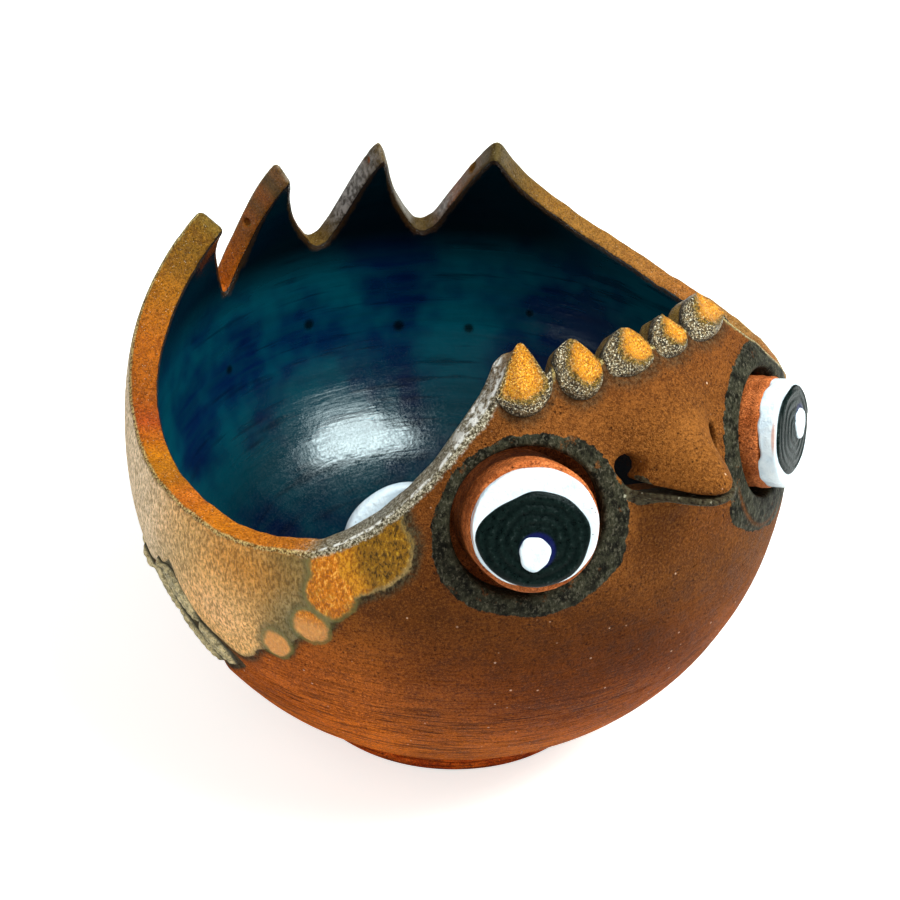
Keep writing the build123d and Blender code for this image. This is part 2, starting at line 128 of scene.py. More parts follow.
# Recessed field behind the left wing's leaves, mirrored on the right: azimuth, rise
WING = [
    (-88.2, -.060), (-86.4, -.135), (-83.2, -.205), (-79.2, -.250), (-74.2, -.292),
    (-72.6, -.330), (-75.2, -.375), (-80, -.44), (-86, -.52), (-94, -.580), (-103, -.60),
    (-112, -.56), (-119, -.47), (-118, -.40), (-110, -.33), (-101, -.255), (-94.5, -.175),
    (-90.4, -.105)]
# Left wing's leaves: azimuth, rise, half length, half width (mm), tilt in degrees
LEAVES = [
    (-88.5, -.195, 8.5, 3.6, -48), (-80.5, -.325, 6.5, 3.1, -42), (-98, -.275, 9.0, 4.0, -52),
    (-89.5, -.410, 8.0, 3.7, -44), (-108, -.350, 9.0, 4.1, -55), (-99.5, -.490, 8.0, 3.6, -46)]
# Brow tufts: name, azimuths of the two sides and of the ridge, rise of the lowest point
TUFTS = [
    ("brow_tuft_outer_left", -30.5, -18.2, -24.3, .578), ("brow_tuft_left", -17.8, -7.9, -13.2, .597),
    ("brow_tuft_middle", -7.5, 4.2, -1.6, .618), ("brow_tuft_right", 4.6, 14.2, 9.4, .622),
    ("brow_tuft_outer_right", 14.6, 29.5, 21.5, .612)]
TUFT_SHOULDER = .634                  # rise at which a tuft's lower edge meets its sides
# Slot under the beak: degrees either side of the beak, rise
SLOT = [(0, .358), (1.5, .3595), (3, .3645), (5, .3745), (7, .3825), (8.1, .3905), (8.8, .404),
        (9.05, .42), (9.1, .44)]
# Its half width: degrees from the beak, mm
SLOT_HALF_WIDTH = [(-9.1, 1.25), (-8, 1.0), (-6.6, .85), (-5, .55), (-3.2, .35), (0, .3),
                   (3, .35), (5, .5), (9, 1.0)]
# Ridge of the beak: rise, height in mm
BEAK_RIDGE = [(.34, 14.0), (.362, 14.2), (.375, 14.2), (.395, 13.4), (.42, 11.4), (.445, 9.4),
              (.47, 7.5), (.50, 5.5), (.54, 3.1), (.572, 1.6), (.62, .5), (.70, 0)]
# Small pits near the rim: azimuth, rise, distance out as a part of RADIUS, pit radius
PITS = [(168.6, .552, .975, 1.5), (143.0, .497, .97, 1.5), (-163.2, .42, .965, 1.0)]
# Rim glaze: azimuth, display red, green, blue
RIM_COLOURS = [
    (-180, 150, 120, 60), (-172, 214, 120, 40), (-166, 120, 104, 66), (-161, 222, 128, 36),
    (-157, 224, 120, 36), (-150, 120, 100, 54), (-141, 128, 112, 62), (-136, 150, 118, 52),
    (-130, 196, 132, 40), (-122, 206, 120, 34), (-112, 184, 104, 30), (-104, 196, 92, 40),
    (-98, 232, 148, 28), (-92, 206, 134, 34), (-86, 236, 136, 52), (-76, 240, 148, 40),
    (-66, 236, 146, 56), (-60, 222, 140, 52), (-56, 158, 136, 74), (-48, 140, 126, 74),
    (-40, 160, 142, 98), (-34, 150, 134, 96), (-28, 196, 146, 74), (-22, 168, 140, 84),
    (0, 150, 128, 84), (22, 168, 140, 84), (30, 150, 140, 110), (48, 150, 138, 116),
    (62, 214, 150, 110), (76, 200, 156, 108), (90, 204, 136, 80), (104, 190, 134, 76),
    (118, 176, 130, 70), (126, 170, 126, 66), (132, 130, 104, 56), (138, 110, 98, 70),
    (142, 132, 106, 62), (147, 196, 116, 46), (152, 132, 112, 80), (158, 110, 96, 72),
    (166, 124, 104, 70), (172, 128, 112, 84), (180, 150, 120, 60)]
# Dark spots inside: azimuth, rise, radius in mm
INNER_SPOTS = [(179.5, -.105, 1.5), (158.5, -.175, 1.6), (142.5, -.19, 1.4), (129, -.10, 1.1),
               (-158, -.14, 1.2)]


# ---------------------------------------------------------------- curves and noise
def ease(start, end, x):
    """Smooth step from 0 at start to 1 at end; start may be the larger."""
    t = np.clip((x - start) / (end - start), 0.0, 1.0)
    return t * t * (3 - 2 * t)


def bell(x, centre, width):
    return np.exp(-((x - centre) / width) ** 2)


def lookup(table, x):
    """Straight-line reading of a table of pairs."""
    return np.interp(x, *zip(*table))


def ripple(az, el, cells, seed, amp=1.0):
    """Smooth seeded noise, periodic in azimuth (degrees); elevation is in radians."""
    draw = np.random.default_rng(seed)
    total = np.zeros(np.broadcast(az, el).shape)
    turn = np.radians(az)
    for _ in range(14):
        around = int(draw.integers(1, cells + 1))
        up = draw.uniform(-cells, cells)
        phase = draw.uniform(0, 6.283)
        wave = np.sin(around * turn + up * el * 1.1 + phase)
        total = total + wave * draw.uniform(.5, 1)
    return total * amp / 4.5


def soft_max(a, b, reach):
    """Maximum with a fillet of the given reach."""
    overlap = np.maximum(reach - np.abs(a - b), 0)
    return np.maximum(a, b) + overlap * overlap / (4 * reach)


def soft_min(a, b, reach):
    return -soft_max(-a, -b, reach)


def direction(side, az, el):
    """Unit vector at an azimuth and elevation in degrees, mirrored for the left side."""
    turn, lift = radians(az), radians(el)
    return np.array([side * sin(turn) * cos(lift), -cos(turn) * cos(lift), sin(lift)])


def hole_axis(side):
    return direction(side, EYES[side]["az"], EYES[side]["el"])


RIM_STEP = .05


def cut_rim():
    """The rim's rise, slightly hand-cut and then smoothed, and its slope per radian."""
    az = np.arange(-180, 180, RIM_STEP)
    rise = lookup(RIM, az)
    rise = (rise + .0022 * np.sin(np.radians(az * 17) + 1)
            + .0016 * np.sin(np.radians(az * 41) + 2) + .001 * np.sin(np.radians(az * 83)))
    kernel = np.exp(-.5 * (np.arange(-24, 25) * RIM_STEP / .38) ** 2)
    kernel /= kernel.sum()
    rise = np.convolve(np.concatenate([rise[-24:], rise, rise[:24]]), kernel, "valid")
    wrapped = np.concatenate([rise[-1:], rise, rise[:1]])
    return rise, np.gradient(wrapped, radians(RIM_STEP))[1:-1]


rim_rise, rim_slope = cut_rim()


def rim_at(az):
    place = (az + 180.0) / RIM_STEP
    cell = np.floor(place).astype(np.int64)
    part = place - cell
    a, b = cell % len(rim_rise), (cell + 1) % len(rim_rise)
    return [table[a] * (1 - part) + table[b] * part for table in (rim_rise, rim_slope)]


# ---------------------------------------------------------------- maps over the sphere
AZ_STEP, EL_STEP = .25, .003          # degrees, radians
MAP_AZ = np.arange(-180, 180, AZ_STEP)
MAP_EL = np.arange(-1.35, .86, EL_STEP)
az_map, el_map = np.meshgrid(MAP_AZ, MAP_EL, indexing="ij")
rise_map = np.sin(el_map)
turn_map = np.radians(az_map)
FAR = 40.0                            # largest distance a map holds, in mm
PAD = 12.0                            # how far round an outline distances are worked out


def sample(grid, az, el):
    """Bilinear reading of a map."""
    x = (az + 180.0) / AZ_STEP
    y = np.clip((el - MAP_EL[0]) / EL_STEP, 0, len(MAP_EL) - 1.001)
    i, j = np.floor(x).astype(np.int64), np.floor(y).astype(np.int64)
    fx, fy = x - i, y - j
    i0, i1 = i % len(MAP_AZ), (i + 1) % len(MAP_AZ)
    low = grid[i0, j] * (1 - fx) + grid[i1, j] * fx
    high = grid[i0, j + 1] * (1 - fx) + grid[i1, j + 1] * fx
    return low * (1 - fy) + high * fy


def flat(az, rise, az0):
    """Places on the sphere as mm on its skin, across from az0 and up from the equator."""
    el = np.arcsin(np.clip(rise, -1, 1))
    return (az - az0) * pi / 180 * np.cos(el) * RADIUS, el * RADIUS


def outline_distance(az, rise, loop, az0):
    """Signed distance in mm to a closed loop, negative inside."""
    X, Y = flat(az, rise, az0)
    loop_x, loop_y = flat(loop[:, 0], loop[:, 1], az0)
    nearest = np.full(X.shape, 1e9)
    inside = np.zeros(X.shape, bool)
    for x0, y0, x1, y1 in zip(loop_x, loop_y, np.roll(loop_x, -1), np.roll(loop_y, -1)):
        dx, dy = x1 - x0, y1 - y0
        t = np.clip(((X - x0) * dx + (Y - y0) * dy) / (dx * dx + dy * dy + 1e-9), 0, 1)
        nearest = np.minimum(nearest, (X - x0 - t * dx) ** 2 + (Y - y0 - t * dy) ** 2)
        crosses = (y0 > Y) != (y1 > Y)
        inside ^= crosses & (X < dx * (Y - y0) / (dy + 1e-12 * (dy == 0)) + x0)
    nearest = np.sqrt(nearest)
    return np.where(inside, -nearest, nearest)


def region(outline, az0):
    """Map of the signed distance to an outline whose corners are cut twice."""
    loop = np.array(outline, float)
    for _ in range(2):
        ahead = np.roll(loop, -1, 0)
        loop = np.stack([.75 * loop + .25 * ahead, .25 * loop + .75 * ahead], 1).reshape(-1, 2)
    (az_low, rise_low), (az_high, rise_high) = loop.min(0), loop.max(0)
    columns = (MAP_AZ >= az_low - PAD * 1.6) & (MAP_AZ <= az_high + PAD * 1.6)
    rows = ((MAP_EL >= asin(max(-.97, rise_low)) - PAD / RADIUS)
            & (MAP_EL <= asin(min(.75, rise_high)) + PAD / RADIUS))
    window = np.ix_(columns, rows)
    distance = np.full(az_map.shape, FAR)
    distance[window] = np.minimum(
        FAR, outline_distance(az_map[window], rise_map[window], loop, az0))
    return distance


def both_sides(outline, az0):
    mirrored = [(-az, rise) for az, rise in outline]
    return np.minimum(region(outline, az0), region(mirrored, -az0))


def blob(az, rise, half_x, half_y, tilt):
    """Rough distance map of a tilted ellipse."""
    X, Y = flat(az_map, rise_map, az)
    Y = Y - asin(rise) * RADIUS
    c, s = cos(radians(tilt)), sin(radians(tilt))
    along, across = X * c + Y * s, -X * s + Y * c
    reach = np.sqrt((along / half_x) ** 2 + (across / half_y) ** 2)
    return np.minimum(FAR, (reach - 1) * min(half_x, half_y))


def hole_distance(side):
    axis = hole_axis(side)
    level = np.cos(el_map)
    along = (level * np.sin(turn_map) * axis[0] - level * np.cos(turn_map) * axis[1]
             + rise_map * axis[2])
    across = np.sqrt(np.maximum(0, 1 - along * along)) * RADIUS
    return across - EYES[side]["hole"] + np.where(along < 0, 99, 0)


ring_map = np.minimum(region(LEFT_RING, -24.5), region(RIGHT_RING, 25.5))
ring_map = ring_map + ripple(az_map, el_map, 60, 3, .22)
hole_map = np.minimum(hole_distance(LEFT), hole_distance(RIGHT))
patch_map = np.minimum(region(LEFT_PATCH, -75), region(RIGHT_PATCH, 75))
patch_map = patch_map + ripple(az_map, el_map, 70, 5, .25)
amber_map = np.minimum.reduce([blob(*row) for row in BLOBS])
amber_map = amber_map + ripple(az_map, el_map, 80, 9, .25)
lobe_map = both_sides(LOBE, -49) + ripple(az_map, el_map, 60, 10, .4)
wing_map = both_sides(WING, -95)

beak_off = az_map - BEAK_AZ           # degrees to the side of the beak
slot_rise = lookup(SLOT[:-1], np.abs(beak_off))


def swell(x, half):
    return np.cos(np.clip(np.abs(x) / half, 0, 1) * pi / 2) ** 2


def beak_height():
    """Height of the beak: a tongue swelling down to the slot, and a lip meeting it from below."""
    off = np.abs(beak_off)
    tongue = lookup(BEAK_RIDGE, rise_map)
    tongue = tongue * swell(beak_off, 10.6 + 34 * np.clip(rise_map - .43, 0, .25))
    below = np.clip(slot_rise - rise_map, 0, 1)
    lip_top = (13.4 * swell(beak_off, 10.6) + .9 * bell(off, 4.2, 2.0)
               - .7 * bell(beak_off, 0, 1.6))
    lip = (lip_top * (1 - ease(.016, .040, below))
           + .9 * swell(beak_off, 9.5) * (1 - ease(.03, .11, below)))
    beside = ease(8.6, 9.6, off)
    above = ease(-.005, .005, rise_map - slot_rise)
    height = ((tongue * above + lip * (1 - above)) * (1 - beside)
              + tongue * beside * ease(.37, .43, rise_map))
    return np.where((off < 22) & (rise_map < .70) & (rise_map > .15), height, 0.0)


def lip_distance():
    """Distance to the dark glaze on the lip, negative inside it."""
    band = ((slot_rise - rise_map) * RADIUS / .93 - 2.5 - .2 * np.abs(np.minimum(beak_off, 0)))
    covered = (rise_map < slot_rise + .002) & (np.abs(beak_off) < 9.8)
    distance = np.where(covered, band, 9.0)
    corner = np.hypot(beak_off + 8.6, (rise_map - .385) * 60) < 2.2
    return np.where(corner, np.minimum(distance, -.5), distance)


beak_map = beak_height()
lip_map = lip_distance()


def outer_relief():
    """Height in mm of the outer skin over the sphere, without the beak."""
    z = rise_map * RADIUS
    relief = ripple(az_map, el_map, 5, 11, .22) + ripple(az_map, el_map, 16, 12, .07)
    draw = np.random.default_rng(21)
    # throwing grooves
    for groove_z in np.sort(draw.uniform(-66, 18, 34)):
        width = draw.uniform(.35, 1.1)
        depth = draw.uniform(.03, .13) * (1.3 if -52 < groove_z < -24 else .6)
        wander = (.5 * np.sin(turn_map + draw.uniform(0, 6))
                  + .3 * np.sin(2 * turn_map + draw.uniform(0, 6)))
        fade = .55 + .45 * np.sin(turn_map * draw.integers(1, 3) + draw.uniform(0, 6))
        relief -= depth * fade * np.exp(-((z - groove_z - wander) / width) ** 2)
    relief += .10 * np.sin(z / 3.1 + turn_map) * ease(-10, -30, z)
    # paint and glaze stand proud, the wing fields are sunk
    band = np.minimum(-ring_map, hole_map)
    relief += .20 * ease(-.3, .7, np.minimum(band, 12))
    relief += .28 * ease(.3, -1.1, patch_map) + .42 * ease(.5, -2.2, amber_map)
    relief -= .95 * ease(.6, -.9, wing_map)
    relief = np.minimum(relief, .10 + .12 * np.tanh(relief - .10)) - .14
    # the wall is fuller behind the rim's peak at the back left
    relief += 1.5 * bell(az_map, -131, 17) * ease(-.05, .35, rise_map)
    return relief


def inner_relief():
    """Height in mm of the inner skin over its sphere; it follows the beak above the slot."""
    z = rise_map * RADIUS
    relief = (.035 * np.sin(z / 1.9 + turn_map) * ease(1.0, .2, np.abs(rise_map))
              + ripple(az_map, el_map, 5, 31, .30)
              + .05 * np.sin(z / 4.6 + turn_map) + .010 * np.sin(z / .9 + 2.0 * turn_map))
    relief += .9 * beak_map * ease(-.006, .006, rise_map - slot_rise)
    return relief


outer_map = outer_relief()
outer_beak_map = outer_map + beak_map
inner_map = inner_relief()
# relief skins sit on the outer surface less the beak
base_map = outer_beak_map - beak_map


# ---------------------------------------------------------------- the bowl as a distance field
SLOT_LINE = np.array([(BEAK_AZ - x, y) for x, y in SLOT[::-1]]
                     + [(BEAK_AZ + x, y) for x, y in SLOT[1:]])


def slot_cut(az, rise):
    """Signed distance in mm to the slot and the nostrils at its ends, negative inside."""
    X, Y = flat(az, rise, BEAK_AZ)
    line_x, line_y = flat(SLOT_LINE[:, 0], SLOT_LINE[:, 1], BEAK_AZ)
    half = lookup(SLOT_HALF_WIDTH, SLOT_LINE[:, 0] - BEAK_AZ)
    distance = np.full(X.shape, 1e9)
    for i in range(len(line_x) - 1):
        dx, dy = line_x[i + 1] - line_x[i], line_y[i + 1] - line_y[i]
        from_x, from_y = X - line_x[i], Y - line_y[i]
        t = np.clip((from_x * dx + from_y * dy) / (dx * dx + dy * dy), 0, 1)
        width = half[i] * (1 - t) + half[i + 1] * t
        distance = np.minimum(distance, np.hypot(from_x - t * dx, from_y - t * dy) - width)
    left_x, left_y = flat(-7.35, .437, BEAK_AZ)
    right_x, right_y = flat(10.9, .438, BEAK_AZ)
    distance = soft_min(distance, np.hypot(X - left_x, Y - left_y) - 2.55, .8)
    # the right nostril is a tear that trails downwards
    stretch = np.where(Y > right_y, 1.0, .42)
    tear = np.hypot(X - right_x + .14 * (Y - right_y), (Y - right_y) * stretch) - 1.65
    return soft_min(distance, tear, .8)


def bowl(points, details=False):
    """Signed distance of the bowl's clay, negative in it; on request the places it came from."""
    x, y, z = points[..., 0], points[..., 1], points[..., 2]
    r = np.sqrt(x * x + y * y + z * z) + 1e-9
    rise = z / r
    el = np.arcsin(np.clip(rise, -1, 1))
    az = np.degrees(np.arctan2(x, -y))
    inner = sample(inner_map, az, el)
    outside = r - (RADIUS + sample(outer_beak_map, az, el))
    from_axis = np.hypot(x, y)
    floor_z = ((FLOOR_Z - CENTRE_Z) + .0028 * from_axis * from_axis
               + .03 * np.sin(from_axis / 1.9 + np.radians(az)) * ease(2, 8, from_axis))
    cavity = soft_max(r - (INNER_RADIUS + inner), floor_z - z, 13.0)
    clay = np.maximum(outside, -cavity)

    rim, slope = rim_at(az)
    level = np.sqrt(np.maximum(1 - rise * rise, .05))
    over_rim = z - rim * (r + lookup(LEAN, az) * (RADIUS - r))
    over_rim = over_rim / np.sqrt(level * level + (slope / level) ** 2)
    clay = soft_max(clay, over_rim, 1.5)

    for side in (LEFT, RIGHT):
        axis = hole_axis(side)
        along = x * axis[0] + y * axis[1] + z * axis[2]
        spin = np.arctan2(z - along * axis[2], (x - along * axis[0]) * side)
        drill = (np.sqrt(np.maximum(r * r - along * along, 0)) - EYES[side]["hole"]
                 - .12 * np.sin(spin * 3 + side))
        clay = np.where(along > 30, soft_max(clay, -drill, 1.2), clay)

    near = (np.abs(az - BEAK_AZ) < 16) & (rise > .2) & (rise < .58) & (r > 55)
    if near.any():
        clay = clay.copy()
        clay[near] = soft_max(clay[near], -slot_cut(az[near], rise[near]), .7)
    for pit_az, pit_rise, out, pit_radius in PITS:
        reach = RADIUS * out
        pit_level = sqrt(1 - pit_rise * pit_rise)
        away = np.sqrt((x - reach * pit_level * sin(radians(pit_az))) ** 2
                       + (y + reach * pit_level * cos(radians(pit_az))) ** 2
                       + (z - reach * pit_rise) ** 2)
        clay = soft_max(clay, pit_radius - away, .5)
    clay = np.maximum(clay, (UNDERSIDE_Z - CENTRE_Z) - z)
    if details:
        return r, az, rise, el, over_rim, inner
    return clay


def bowl_steepness(points):
    """How fast the field may change: more round the beak."""
    az = np.degrees(np.arctan2(points[:, 0], -points[:, 1]))
    return np.where((np.abs(az) < 24) & (points[:, 2] > 5) & (points[:, 2] < 55), 5.0, 1.35)


def surface_nets(field, low, high, cell, steepness):
    """Quad mesh of field = 0, working only in the blocks of cells near the surface."""
    block = 8
    low = np.array(low)
    counts = [int(ceil((high[i] - low[i]) / (cell * block))) for i in range(3)]
    blocks = np.stack(np.meshgrid(*[np.arange(n) for n in counts], indexing="ij"), -1)
    blocks = blocks.reshape(-1, 3)
    centres = low + (blocks + .5) * block * cell
    blocks = blocks[np.abs(field(centres)) < block * cell * .87 * steepness(centres)]
    nodes = np.stack(np.meshgrid(*[np.arange(block + 1)] * 3, indexing="ij"), -1)
    values = np.empty((len(blocks),) + (block + 1,) * 3, np.float32)
    for a in range(0, len(blocks), 600):
        some = blocks[a:a + 600, None, None, None, :]
        values[a:a + 600] = field(low + (some * block + nodes[None]) * cell)

    # cells the surface passes through
    inside = values < 0
    corners = [(i, j, k) for i in (0, 1) for j in (0, 1) for k in (0, 1)]
    filled = sum(inside[:, i:block + i, j:block + j, k:block + k].astype(np.int8)
                 for i, j, k in corners)
    active = np.argwhere((filled > 0) & (filled < 8))
    home, place = active[:, 0], active[:, 1:]
    value = np.stack([values[home, place[:, 0] + i, place[:, 1] + j, place[:, 2] + k]
                      for i, j, k in corners], 1)

    # one vertex per cell, at the mean of the crossings on its edges
    vertex = np.zeros((len(active), 3))
    crossings = np.zeros(len(active))
    for p in range(8):
        for q in range(p + 1, 8):
            edge = np.array(corners[q]) - np.array(corners[p])
            if np.abs(edge).sum() != 1:
                continue
            u, v = value[:, p], value[:, q]
            crossed = (u < 0) != (v < 0)
            t = np.where(crossed, u / np.where(crossed, u - v, 1), 0)
            vertex += crossed[:, None] * (np.array(corners[p]) + t[:, None] * edge)
            crossings += crossed
    index = blocks[home] * block + place
    vertex = low + (index + vertex / crossings[:, None]) * cell

    size_y, size_z = counts[1] * block + 2, counts[2] * block + 2
    ids = (index[:, 0].astype(np.int64) * size_y + index[:, 1]) * size_z + index[:, 2]
    order = np.argsort(ids)
    sorted_ids = ids[order]

    def neighbour(offset):
        wanted = ids + (offset[0] * size_y + offset[1]) * size_z + offset[2]
        k = np.clip(np.searchsorted(sorted_ids, wanted), 0, len(sorted_ids) - 1)
        return np.where(sorted_ids[k] == wanted, order[k], -1)

    # one quad round every crossed edge
    faces = []
    back_x, back_y, back_z = (-1, 0, 0), (0, -1, 0), (0, 0, -1)
    for axis, (one, two) in enumerate(((back_y, back_z), (back_z, back_x), (back_x, back_y))):
        starts_in, ends_in = value[:, 0] < 0, value[:, 4 >> axis] < 0
        crossed = starts_in != ends_in
        both = tuple(a + b for a, b in zip(one, two))
        quads = np.stack([np.arange(len(ids)), neighbour(one), neighbour(both),
                          neighbour(two)], 1)[crossed]
        quads = np.where(starts_in[crossed][:, None], quads[:, ::-1], quads)
        faces.append(quads[(quads >= 0).all(1)])
    return vertex, np.concatenate(faces)


def gradient(field, points, reach=.05):
    slopes = np.empty_like(points)
    for i in range(3):
        offset = np.zeros(3)
        offset[i] = reach
        slopes[:, i] = (field(points + offset) - field(points - offset)) / (2 * reach)
    return slopes


# ---------------------------------------------------------------- meshes and their attributes
def make_mesh(name, verts, faces):
    """Smooth mesh from vertices in mm; faces are an array of quads or a list."""
    verts = verts / 1000
    mesh = bpy.data.meshes.new(name)
    if isinstance(faces, np.ndarray):
        count, corners = faces.shape
        mesh.vertices.add(len(verts))
        mesh.vertices.foreach_set("co", np.asarray(verts, np.float32).ravel())
        mesh.loops.add(count * corners)
        mesh.loops.foreach_set("vertex_index", faces.astype(np.int32).ravel())
        mesh.polygons.add(count)
        starts = np.arange(0, count * corners, corners, dtype=np.int32)
        mesh.polygons.foreach_set("loop_start", starts)
        mesh.polygons.foreach_set("loop_total", np.full(count, corners, np.int32))
        mesh.update(calc_edges=True)
    else:
        mesh.from_pydata(verts.tolist(), [], faces)
    mesh.validate()
    mesh.polygons.foreach_set("use_smooth", np.ones(len(mesh.polygons), bool))
    ob = bpy.data.objects.new(name, mesh)
    bpy.context.scene.collection.objects.link(ob)
    return ob


def put(ob, name, values):
    layer = ob.data.attributes.new(name, "FLOAT", "POINT")
    layer.data.foreach_set("value", np.asarray(values, np.float32))


def put_colour(ob, name, colours):
    layer = ob.data.attributes.new(name, "FLOAT_COLOR", "POINT")
    rgba = np.ones((len(colours), 4), np.float32)
    rgba[:, :3] = colours
    layer.data.foreach_set("color", rgba.ravel())


def register(ob, materials, group, slot, *pieces):
    for material in materials:
        ob.data.materials.append(material)
    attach(ob, group)
    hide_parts(*pieces)


def rgb(*channels):
    """8-bit display colour to linear."""
    return tuple((v / 255 / 12.92) if v / 255 <= .04045 else ((v / 255 + .055) / 1.055) ** 2.4
                 for v in channels)


def wash(colour, *layers):
    """Lay (amount, tone) layers over an array of colours."""
    for amount, tone in layers:
        part = np.asarray(amount)[..., None]
        colour = np.asarray(colour) * (1 - part) + np.asarray(tone) * part
    return colour


# ---------------------------------------------------------------- shader building
class Signal:
    """A shader output that takes arithmetic."""

    def __init__(self, shader, socket):
        self.shader, self.socket = shader, socket

    def __add__(self, other):
        return self.shader.math("ADD", self, other)

    def __sub__(self, other):
        return self.shader.math("SUBTRACT", self, other)

    def __rsub__(self, other):
        return self.shader.math("SUBTRACT", other, self)

    def __mul__(self, other):
        return self.shader.math("MULTIPLY", self, other)

    def __rmul__(self, other):
        return self.shader.math("MULTIPLY", other, self)

    def max(self, other):
        return self.shader.math("MAXIMUM", self, other)

    def step(self, start, end, at_start=0.0, at_end=1.0):
        """Smooth step between two results as the signal goes from start to end."""
        if start > end:
            start, end, at_start, at_end = end, start, at_end, at_start
        node = self.shader.add(
            "MapRange", {"Value": self, "From Min": start, "From Max": end,
                         "To Min": at_start, "To Max": at_end},
            interpolation_type="SMOOTHSTEP")
        return Signal(self.shader, node.outputs[0])

    def blend(self, start, end, colour, other):
        """From one colour to another as the signal goes from start to end."""
        return self.shader.mix(self.step(start, end), colour, other)

    def bump(self, mm, normal=None):
        """Normal of a relief where a signal of 1 stands mm high."""
        node = self.shader.add("Bump", {"Distance": mm / 1000, "Strength": 1.0,
                                        "Height": self, "Normal": normal})
        return Signal(self.shader, node.outputs[0])


class Shader:
    """A material with one Principled node, textured in mm of object space."""

    def __init__(self, name):
        self.material = bpy.data.materials.new(name)
        self.material.use_nodes = True
        self.tree = self.material.node_tree
        self.tree.nodes.clear()
        output = self.add("OutputMaterial")
        self.bsdf = self.add("BsdfPrincipled")
        self.tree.links.new(self.bsdf.outputs[0], output.inputs[0])
        place = Signal(self, self.add("TexCoord").outputs["Object"])
        self.mm = self.scaled(place, (1000, 1000, 1000))

    def add(self, kind, inputs=None, **settings):
        node = self.tree.nodes.new("ShaderNode" + kind)
        for key, value in settings.items():
            setattr(node, key, value)
        for key, value in (inputs or {}).items():
            self.link(value, node.inputs[key])
        return node

    def link(self, value, socket):
        """Connect a signal, or set a number or a colour; None leaves the socket alone."""
        if isinstance(value, Signal):
            self.tree.links.new(value.socket, socket)
        elif isinstance(value, tuple):
            socket.default_value = value + (1.0,) * (len(socket.default_value) - len(value))
        elif value is not None:
            socket.default_value = value

    def attr(self, name, output="Fac"):
        return Signal(self, self.add("Attribute", attribute_name=name).outputs[output])

    def scaled(self, vector, scale):
        return Signal(self, self.add("Mapping", {"Vector": vector, "Scale": scale}).outputs[0])

    def noise(self, size, detail, rough, seed, stretch=None):
        """Noise with features of about size mm; the seed shifts it."""
        vector = self.scaled(self.mm, stretch) if stretch else self.mm
        shift = (seed * 7.31, seed * 3.17, seed * 5.73)
        moved = self.add("VectorMath", {0: vector, 1: shift}, operation="ADD")
        node = self.add("TexNoise", {"Scale": 1.0 / size, "Detail": detail, "Roughness": rough,
                                     "Vector": Signal(self, moved.outputs[0])})
        return Signal(self, node.outputs["Fac"])

    def noises(self, *rows):
        """Several noises from rows of size, detail, roughness and seed."""
        return [self.noise(*row) for row in rows]

    def cells(self, size):
        node = self.add("TexVoronoi", {"Scale": 1.0 / size, "Vector": self.mm})
        return Signal(self, node.outputs["Distance"])

    def math(self, operation, a, b):
        return Signal(self, self.add("Math", {0: a, 1: b}, operation=operation).outputs[0])

    def mix(self, factor, a, b, mode="MIX"):
        node = self.add("Mix", data_type="RGBA", blend_type=mode)
        for value, index in ((factor, 0), (a, 6), (b, 7)):
            self.link(value, node.inputs[index])
        return Signal(self, node.outputs[2])

    def mix_value(self, factor, a, b):
        node = self.add("Mix", data_type="FLOAT")
        for value, index in ((factor, 0), (a, 2), (b, 3)):
            self.link(value, node.inputs[index])
        return Signal(self, node.outputs[0])

    def paint(self, colour, *layers, base=None):
        """Lay coats over a colour. A layer is: signal, its start and end, the cover at each,
        and the coat, which multiplies the base where one is given."""
        for signal, start, end, at_start, at_end, coat in layers:
            cover = signal.step(start, end, at_start, at_end)
            if base is not None:
                coat = self.mix(1.0, base, coat, "MULTIPLY")
            colour = self.mix(cover, colour, coat)
        return colour

    def done(self, colour, rough, normal=None, **more):
        """Connect the Principled node; other inputs by name, with _ for each space."""
        inputs = {"Base Color": colour, "Roughness": rough, "Normal": normal}
        inputs.update((key.replace("_", " "), value) for key, value in more.items())
        for key, value in inputs.items():
            self.link(value, self.bsdf.inputs[key])
        return self.material


